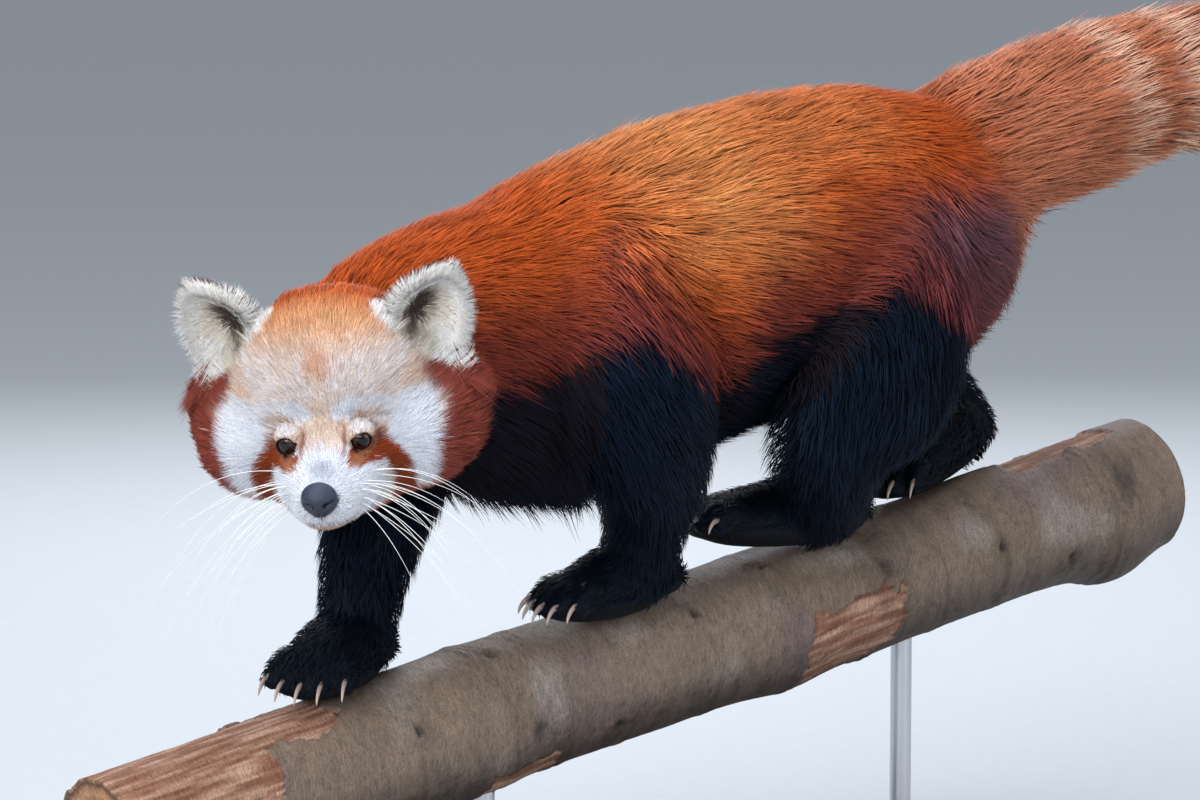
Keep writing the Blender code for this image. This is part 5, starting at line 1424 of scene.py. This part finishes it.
# %% Patches, knots and bark relief
def patch(y0, y1, d0, d1, rough=0.006):
    """1 on a peeled patch between two places along and two angles round."""
    jog_y = rough * noise(round_place, 0.009, 71) + 0.4 * rough * noise(round_place, 0.003, 72)
    jog_d = 9 * noise(round_place, 0.014, 73) + 4 * noise(round_place, 0.004, 74)
    inside_y = np.minimum(Y + jog_y - y0, y1 - Y - jog_y)
    inside_d = np.minimum(degrees + jog_d - d0, d1 - degrees - jog_d) * BRANCH_RADIUS * math.pi / 180
    return step(-0.0007, 0.0007, np.minimum(inside_y, inside_d))


peeled = np.max([patch(-0.50, -0.268, -75, 140), patch(-0.50, -0.212, 50, 118), patch(0.134, 0.212, -58, 9),
                 patch(-0.116, -0.062, -82, -36), patch(0.345, 0.440, 74, 128)], axis=0)
KNOTS = [(-0.081, -6, 0.019), (-0.092, 66, 0.010), (0.205, 26, 0.020), (0.418, 30, 0.030), (0.02, 200, 0.015), (-0.24, 215, 0.014),
         (-0.165, 22, 0.009), (0.052, 42, 0.009), (0.118, 62, 0.008), (0.300, 8, 0.010), (0.362, -22, 0.011), (-0.020, -30, 0.009)]
relief = np.zeros(len(Y))
darken = np.zeros(len(Y))
for at, angle, size in KNOTS:
    far_y = Y - at
    far_d = ((degrees - angle + 180) % 360 - 180) * BRANCH_RADIUS * math.pi / 180
    far = np.sqrt((far_y * 1.15) ** 2 + far_d**2) + 0.0025 * noise(round_place, 0.010, 75)
    near = np.exp(-((far / size) ** 2))
    relief += 0.0026 * near * step(0.0, 0.6, far / size) - 0.0022 * np.exp(-((far / (0.32 * size)) ** 2))
    relief += 0.0007 * np.sin(far / 0.0024 * 2 * math.pi) * np.exp(-((far / (1.25 * size)) ** 2))
    darken += 0.55 * np.exp(-((far / (0.35 * size)) ** 2)) + 0.25 * near
for at, size, height in ((-0.098, 0.010, 0.0016), (0.188, 0.009, 0.0016), (-0.060, 0.006, 0.0008), (0.40, 0.012, 0.0015), (0.30, 0.007, 0.0006),
                         (-0.170, 0.006, 0.0009), (0.055, 0.005, 0.0008), (0.120, 0.006, 0.0007), (0.250, 0.006, 0.0008), (-0.010, 0.004, 0.0006)):
    bend = 0.010 * noise(np.c_[np.cos(TURN), np.sin(TURN), 0 * TURN], 0.9, 76) + 0.002 * noise(round_place, 0.01, 77)
    far = Y - at - bend
    relief += height * np.exp(-((far / size) ** 2)) * (0.6 + 0.4 * np.sin(far / 0.0026 * 2 * math.pi))
    darken += 0.18 * np.exp(-((far / (0.5 * size)) ** 2))
flow = np.c_[Y * 0.35, np.cos(TURN) * BRANCH_RADIUS, np.sin(TURN) * BRANCH_RADIUS]
cross_flow = np.c_[Y * 3.2, np.cos(TURN) * BRANCH_RADIUS * 0.5, np.sin(TURN) * BRANCH_RADIUS * 0.5]
cracks = step(0.62, 0.85, 1 - np.abs(noise(cross_flow, 0.022, 78) + 0.35 * noise(round_place, 0.006, 79)))
pores = np.clip(noise(round_place, 0.0030, 80), 0, 1) ** 2
bark = 0.0012 * noise(round_place, 0.045, 81) + 0.0006 * noise(flow, 0.012, 82) - 0.00022 * cracks * step(-0.2, 0.5, noise(round_place, 0.05, 83)) - 0.0004 * pores
fibre = np.c_[Y * 0.10, np.cos(TURN) * BRANCH_RADIUS, np.sin(TURN) * BRANCH_RADIUS]
wood = -0.0021 + 0.00055 * noise(fibre, 0.0026, 84) + 0.0005 * noise(fibre, 0.0055, 85) + 0.0006 * noise(round_place, 0.018, 86)
edge = step(0.15, 0.45, peeled) * step(0.95, 0.6, peeled)
surface = (bark + relief) * (1 - peeled) + (wood + 0.35 * relief) * peeled + 0.0005 * edge
ring = axis + radial * (BRANCH_RADIUS + surface)[:, None] + np.outer(swell * np.sin(TURN) - swell, upright) + radial * (swell * np.abs(np.cos(TURN)))[:, None]
print("peeled share of the surface:", round(float(peeled.mean()), 3))

# %% [markdown]
# The caps are rings that shrink to the middle, slightly sunk and rough from the saw.

# %% Bark, wood and cut ends as one mesh
RINGS = 14
points, faces = [ring.reshape(-1, 3)], []
grid = np.arange(ALONG * AROUND).reshape(ALONG, AROUND)
quads = np.stack([grid[:-1], np.roll(grid, -1, 1)[:-1], np.roll(grid, -1, 1)[1:], grid[1:]], -1).reshape(-1, 4)
faces.append(quads)
total = ALONG * AROUND
radii_of_cap = []
for end, sign in ((0, -1.0), (ALONG - 1, 1.0)):
    edge_ring = ring.reshape(ALONG, AROUND, 3)[end]
    centre = edge_ring.mean(0)
    previous = grid[end]
    for r in range(1, RINGS):
        keep = 1 - r / RINGS
        place = centre + (edge_ring - centre) * keep
        place = place - tangent * sign * (0.0004 + 0.0004 * noise(place, 0.004, 87))[:, None]
        points.append(place)
        radii_of_cap.append(np.full(AROUND, keep))
        now = total + np.arange(AROUND)
        faces.append(np.stack([previous, np.roll(previous, -1), np.roll(now, -1), now], 1))
        previous = now
        total += AROUND
    points.append(centre[None])
    radii_of_cap.append(np.zeros(1))
    faces.append(np.stack([previous, np.roll(previous, -1), np.full(AROUND, total), np.full(AROUND, total)], 1))
    total += 1
points, faces = np.concatenate(points), np.concatenate(faces)
mesh = bpy.data.meshes.new("branch")
mesh.from_pydata(points.tolist(), [], [tuple(dict.fromkeys(face)) for face in faces.tolist()])
branch = bpy.data.objects.new("branch", mesh)
bpy.context.scene.collection.objects.link(branch)
outwards(branch)
branch.data.polygons.foreach_set("use_smooth", np.ones(len(branch.data.polygons), bool))

grey, olive, umber_and_underside_shade, light_bark = linear("#806c5a"), linear("#77644f"), linear("#41362d"), linear("#a89c8e")
mix = lambda a, b, t: a + (b - a) * np.clip(t, 0, 1)[:, None]
skin_of_bark = mix(np.tile(grey, (len(Y), 1)), olive, 0.55 * step(-0.1, 0.6, noise(round_place, 0.060, 88)))
skin_of_bark = mix(skin_of_bark, light_bark, 0.55 * step(0.1, 0.8, noise(round_place, 0.035, 89)))
skin_of_bark = mix(skin_of_bark, linear("#6b5560"), 0.35 * step(0.2, 0.7, noise(round_place, 0.040, 90)))
# Knots, wrinkles, cracks and pores are darker bark; the underside of the branch is darkened as painted shade.
skin_of_bark = mix(skin_of_bark, umber_and_underside_shade, darken + 0.16 * cracks + 0.35 * pores + 0.75 * step(0.1, -0.8, np.sin(TURN)))
grain = 0.5 + 0.5 * noise(fibre, 0.0022, 91)
timber = mix(np.tile(linear("#90634a"), (len(Y), 1)), linear("#bf9980"), step(0.35, 0.9, grain))
timber = mix(timber, linear("#6b3f2a"), step(0.45, 0.05, grain) * 0.8)
timber = mix(timber, linear("#5b3526"), 0.5 * step(0.35, 0.8, noise(round_place, 0.022, 92)))
rim = 0.8 * step(0.03, 0.3, peeled) * step(0.75, 0.4, peeled)
colours = mix(mix(skin_of_bark, timber, peeled), linear("#2b1f18"), rim)
caps = np.concatenate(radii_of_cap)
saw = mix(np.tile(linear("#b98a64"), (len(caps), 1)), linear("#8a5c3e"), 0.5 + 0.5 * np.sin(caps * 62))
saw = mix(saw, linear("#4d3a2d"), step(0.86, 0.95, caps))
colour_points(branch, "marking", np.concatenate([colours, saw]))
rough_places = np.concatenate([mix(np.full((len(Y), 1), 0.62), 0.78, peeled)[:, 0], np.full(len(caps), 0.8)])
layer = branch.data.attributes.new("dullness", "FLOAT", "POINT")
layer.data.foreach_set("value", rough_places.astype(np.float32))
print("branch:", len(branch.data.polygons), "faces")

# %% [markdown]
# Bark has speckles and hair-fine lines that are too small for the mesh. They are noise in the material, at
# 0.8 mm and at 3 mm, with a bump to match.


# %% Bark finish
made, tree, shader = finish_named("smooth hardwood bark")
paint = add(tree, "ShaderNodeAttribute", {"attribute_name": "marking"})
dull = add(tree, "ShaderNodeAttribute", {"attribute_name": "dullness"})
where = add(tree, "ShaderNodeTexCoord")
speckle = add(tree, "ShaderNodeTexNoise", None, Vector=where.outputs["Object"], Scale=700.0, Detail=4.0, Roughness=0.7)
stretched = add(tree, "ShaderNodeMapping", None, Vector=where.outputs["Object"], Scale=(1.0, 5.0, 1.0))
lines = add(tree, "ShaderNodeTexNoise", None, Vector=stretched.outputs["Vector"], Scale=160.0, Detail=5.0, Roughness=0.65)
both = add(tree, "ShaderNodeMath", {"operation": "ADD"}, i0=speckle.outputs["Fac"], i1=lines.outputs["Fac"])
spread = add(tree, "ShaderNodeMapRange", None, Value=both.outputs["Value"], From_Min=0.7, From_Max=1.3, To_Min=0.46, To_Max=1.42)
scaled = add(tree, "ShaderNodeVectorMath", {"operation": "SCALE"}, Vector=paint.outputs["Color"], Scale=spread.outputs["Result"])
bump = add(tree, "ShaderNodeBump", None, Height=both.outputs["Value"], Strength=0.9, Distance=0.0011)
tree.links.new(scaled.outputs["Vector"], shader.inputs["Base Color"])
tree.links.new(dull.outputs["Fac"], shader.inputs["Roughness"])
tree.links.new(bump.outputs["Normal"], shader.inputs["Normal"])
shader.inputs["Specular IOR Level"].default_value = 0.35
branch.data.materials.append(made)
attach(branch, BODY)
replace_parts(branch, "perch")

# %% [markdown]
# ## The stand
# A plain display stand: a thin board with a routed edge, and two steel rods that stand in small turned
# collars and end under the branch. The board is a rounded rectangle swept up through the profile of its
# edge, and each rod is a turned profile, so both come from short lists of heights and radii.


# %% Board and rods
def swept_up(name, outline, profile):
    """A closed solid from an outline drawn in by the profile's offsets at its heights."""
    rows = [outline(offset) for _, offset in profile]
    points = np.concatenate([np.c_[row, np.full(len(row), height)] for row, (height, _) in zip(rows, profile)])
    n = len(rows[0])
    grid = np.arange(len(points)).reshape(len(profile), n)
    quads = np.stack([grid[:-1], np.roll(grid, -1, 1)[:-1], np.roll(grid, -1, 1)[1:], grid[1:]], -1).reshape(-1, 4)
    mesh = bpy.data.meshes.new(name)
    mesh.from_pydata(points.tolist(), [], [*quads.tolist(), grid[0].tolist(), grid[-1].tolist()])
    obj = bpy.data.objects.new(name, mesh)
    bpy.context.scene.collection.objects.link(obj)
    return outwards(obj)


low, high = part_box("stand_base")


def board_outline(offset, corner=0.012, turns=10):
    """A rectangle with round corners, drawn in by offset."""
    cx, cy = (low.x + high.x) / 2, (low.y + high.y) / 2
    hx, hy = (high.x - low.x) / 2 - corner, (high.y - low.y) / 2 - corner
    found = []
    for k, (sx, sy) in enumerate(((1, 1), (-1, 1), (-1, -1), (1, -1))):
        for a in np.linspace(0, math.pi / 2, turns) + k * math.pi / 2:
            found.append((cx + sx * hx + (corner - offset) * math.cos(a), cy + sy * hy + (corner - offset) * math.sin(a)))
    return np.array(found)


top = high.z
board = swept_up("stand_board", board_outline, [(0.0, 0.0012), (0.0008, 0.0003), (0.0016, 0.0), (top * 0.55, 0.0), (top * 0.60, 0.0006),
                                                (top * 0.66, 0.0026), (top * 0.80, 0.0040), (top * 0.93, 0.0056), (top * 0.985, 0.0078), (top, 0.0095)])
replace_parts(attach(board, BODY), "stand_base")


def turned(name, node):
    """A rod with a collar at its foot, turned about its own axis."""
    lowest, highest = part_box(node)
    cx, cy, radius = (lowest.x + highest.x) / 2, (lowest.y + highest.y) / 2, (highest.x - lowest.x) / 2
    circle = lambda reach: np.stack([cx + reach * np.cos(np.linspace(0, 2 * math.pi, 40, endpoint=False)),
                                     cy + reach * np.sin(np.linspace(0, 2 * math.pi, 40, endpoint=False))], 1)
    z0, z1 = lowest.z, highest.z
    profile = [(z0, -0.0095), (z0 + 0.0006, -0.0100), (z0 + 0.0030, -0.0100), (z0 + 0.0042, -0.0088), (z0 + 0.0048, -0.0040), (z0 + 0.0080, -0.0030),
               (z0 + 0.0088, -0.0022), (z0 + 0.0092, 0.0), (z1 - 0.004, 0.0), (z1, 0.0)]
    return swept_up(name, lambda offset: circle(radius - offset), profile)


for name, node in (("stand_rod_front_steel", "stand_rod_front"), ("stand_rod_rear_steel", "stand_rod_rear")):
    rod = turned(name, node)
    rod.data.polygons.foreach_set("use_smooth", np.array([len(p.vertices) == 4 for p in rod.data.polygons]))
    rod.data.set_sharp_from_angle(angle=math.radians(35))
    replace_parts(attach(rod, BODY), node)
print("stand: board top at", round(top * 1000, 1), "mm")

# %% [markdown]
# The board is fibreboard under a matte, slightly grained charcoal lacquer. The rods are brushed stainless
# steel, whose fine turning marks run round them, so the noise is stretched across and squeezed along.

# %% Finishes of the stand
made, tree, shader = finish_named("charcoal lacquered fibreboard")
where = add(tree, "ShaderNodeTexCoord")
peel = add(tree, "ShaderNodeTexNoise", None, Vector=where.outputs["Object"], Scale=420.0, Detail=3.0)
bump = add(tree, "ShaderNodeBump", None, Height=peel.outputs["Fac"], Strength=0.25, Distance=0.0003)
cloud = add(tree, "ShaderNodeTexNoise", None, Vector=where.outputs["Object"], Scale=14.0, Detail=4.0)
tone = add(tree, "ShaderNodeMix", {"data_type": "RGBA"}, i0=cloud.outputs["Fac"], i6=(*linear("#34353a"), 1.0), i7=(*linear("#3d3e44"), 1.0))
gloss = add(tree, "ShaderNodeMapRange", None, Value=cloud.outputs["Fac"], To_Min=0.46, To_Max=0.58)
tree.links.new(tone.outputs[2], shader.inputs["Base Color"])
tree.links.new(gloss.outputs["Result"], shader.inputs["Roughness"])
tree.links.new(bump.outputs["Normal"], shader.inputs["Normal"])
board.data.materials.append(made)

made, tree, shader = finish_named("brushed stainless steel")
where = add(tree, "ShaderNodeTexCoord")
squeezed = add(tree, "ShaderNodeMapping", None, Vector=where.outputs["Object"], Scale=(40.0, 40.0, 4000.0))
marks = add(tree, "ShaderNodeTexNoise", None, Vector=squeezed.outputs["Vector"], Scale=1.0, Detail=3.0)
bump = add(tree, "ShaderNodeBump", None, Height=marks.outputs["Fac"], Strength=0.2, Distance=0.0001)
gloss = add(tree, "ShaderNodeMapRange", None, Value=marks.outputs["Fac"], To_Min=0.24, To_Max=0.40)
shader.inputs["Base Color"].default_value = (*linear("#c9cacc"), 1.0)
shader.inputs["Metallic"].default_value = 1.0
tree.links.new(gloss.outputs["Result"], shader.inputs["Roughness"])
tree.links.new(bump.outputs["Normal"], shader.inputs["Normal"])
for name in ("stand_rod_front_steel", "stand_rod_rear_steel"):
    bpy.data.objects[name].data.materials.append(made)
print("stand finished")

# %% [markdown]
# ## Floor, light and camera
# The animal was seen on a bright, overcast day: cool light from all of the sky, a little stronger from above
# and from the left. Large soft lamps and a pale world do that in a studio. The camera stands where the
# photographer stood: 3.2 m away, 52 degrees round from straight in front, and 7 degrees above the level.

# %% Floor and lamps
bpy.ops.mesh.primitive_plane_add(size=60.0, location=(0, 0, 0))
floor = bpy.context.object
floor.name = "floor"
made, tree, shader = finish_named("matte studio paper")
where = add(tree, "ShaderNodeTexCoord")
fibres = add(tree, "ShaderNodeTexNoise", None, Vector=where.outputs["Object"], Scale=60.0, Detail=5.0)
tone = add(tree, "ShaderNodeMix", {"data_type": "RGBA"}, i0=fibres.outputs["Fac"], i6=(*linear("#bfc2c4"), 1.0), i7=(*linear("#c5c8c9"), 1.0))
tree.links.new(tone.outputs[2], shader.inputs["Base Color"])
shader.inputs["Roughness"].default_value = 0.9
floor.data.materials.append(made)


def lamp(name, place, target, size, power, colour):
    light = bpy.data.lights.new(name, "AREA")
    light.shape, light.size, light.size_y, light.energy, light.color = "RECTANGLE", size[0], size[1], power, tuple(linear(colour))
    obj = bpy.data.objects.new(name, light)
    obj.location = place
    obj.rotation_mode = "QUATERNION"
    obj.rotation_quaternion = (Vector(target) - Vector(place)).to_track_quat("-Z", "Y")
    bpy.context.scene.collection.objects.link(obj)


lamp("sky from above", (0.4, -0.3, 2.6), (0, 0, 0.35), (2.6, 2.6), 62, "#eef4ff")
lamp("soft key", (1.0, -2.7, 1.7), (0, -0.1, 0.38), (1.6, 1.4), 52, "#fbfaf7")
lamp("fill from the right", (2.8, 0.9, 1.0), (0, 0.1, 0.35), (1.8, 1.4), 22, "#eaf1ff")
sky_place = Vector(HEAD_CENTRE) + HEAD.to_3x3() @ Vector((0.86, -0.12, 0.56)) * 2.2
lamp("bright sky seen in the eyes", tuple(sky_place), HEAD_CENTRE, (2.0, 0.60), 18, "#cfe0ff")
lamp("rim from behind", (-1.8, 1.4, 1.6), (0, 0.1, 0.45), (1.6, 1.2), 34, "#f2f6ff")
world = bpy.data.worlds.new("overcast")
world.use_nodes = True
world.node_tree.nodes["Background"].inputs["Color"].default_value = (*linear("#dfe7f2"), 1.0)
world.node_tree.nodes["Background"].inputs["Strength"].default_value = 0.55
bpy.context.scene.world = world
bpy.context.scene.view_settings.view_transform = "Standard"

# %% Camera
AZIMUTH, ELEVATION, DISTANCE = math.radians(52.0), math.radians(7.0), 3.2
target = Vector((0.0, 0.0, 0.35))
forward = Vector((-math.sin(AZIMUTH) * math.cos(ELEVATION), math.cos(AZIMUTH) * math.cos(ELEVATION), -math.sin(ELEVATION)))
camera = bpy.data.objects.new("camera", bpy.data.cameras.new("camera"))
camera.data.lens, camera.data.sensor_width = 153.6, 36.0
camera.location = target - forward * DISTANCE
camera.rotation_mode = "QUATERNION"
camera.rotation_quaternion = forward.to_track_quat("-Z", "Y")
bpy.context.scene.collection.objects.link(camera)
bpy.context.scene.camera = camera
print("camera at", [round(v, 3) for v in camera.location])
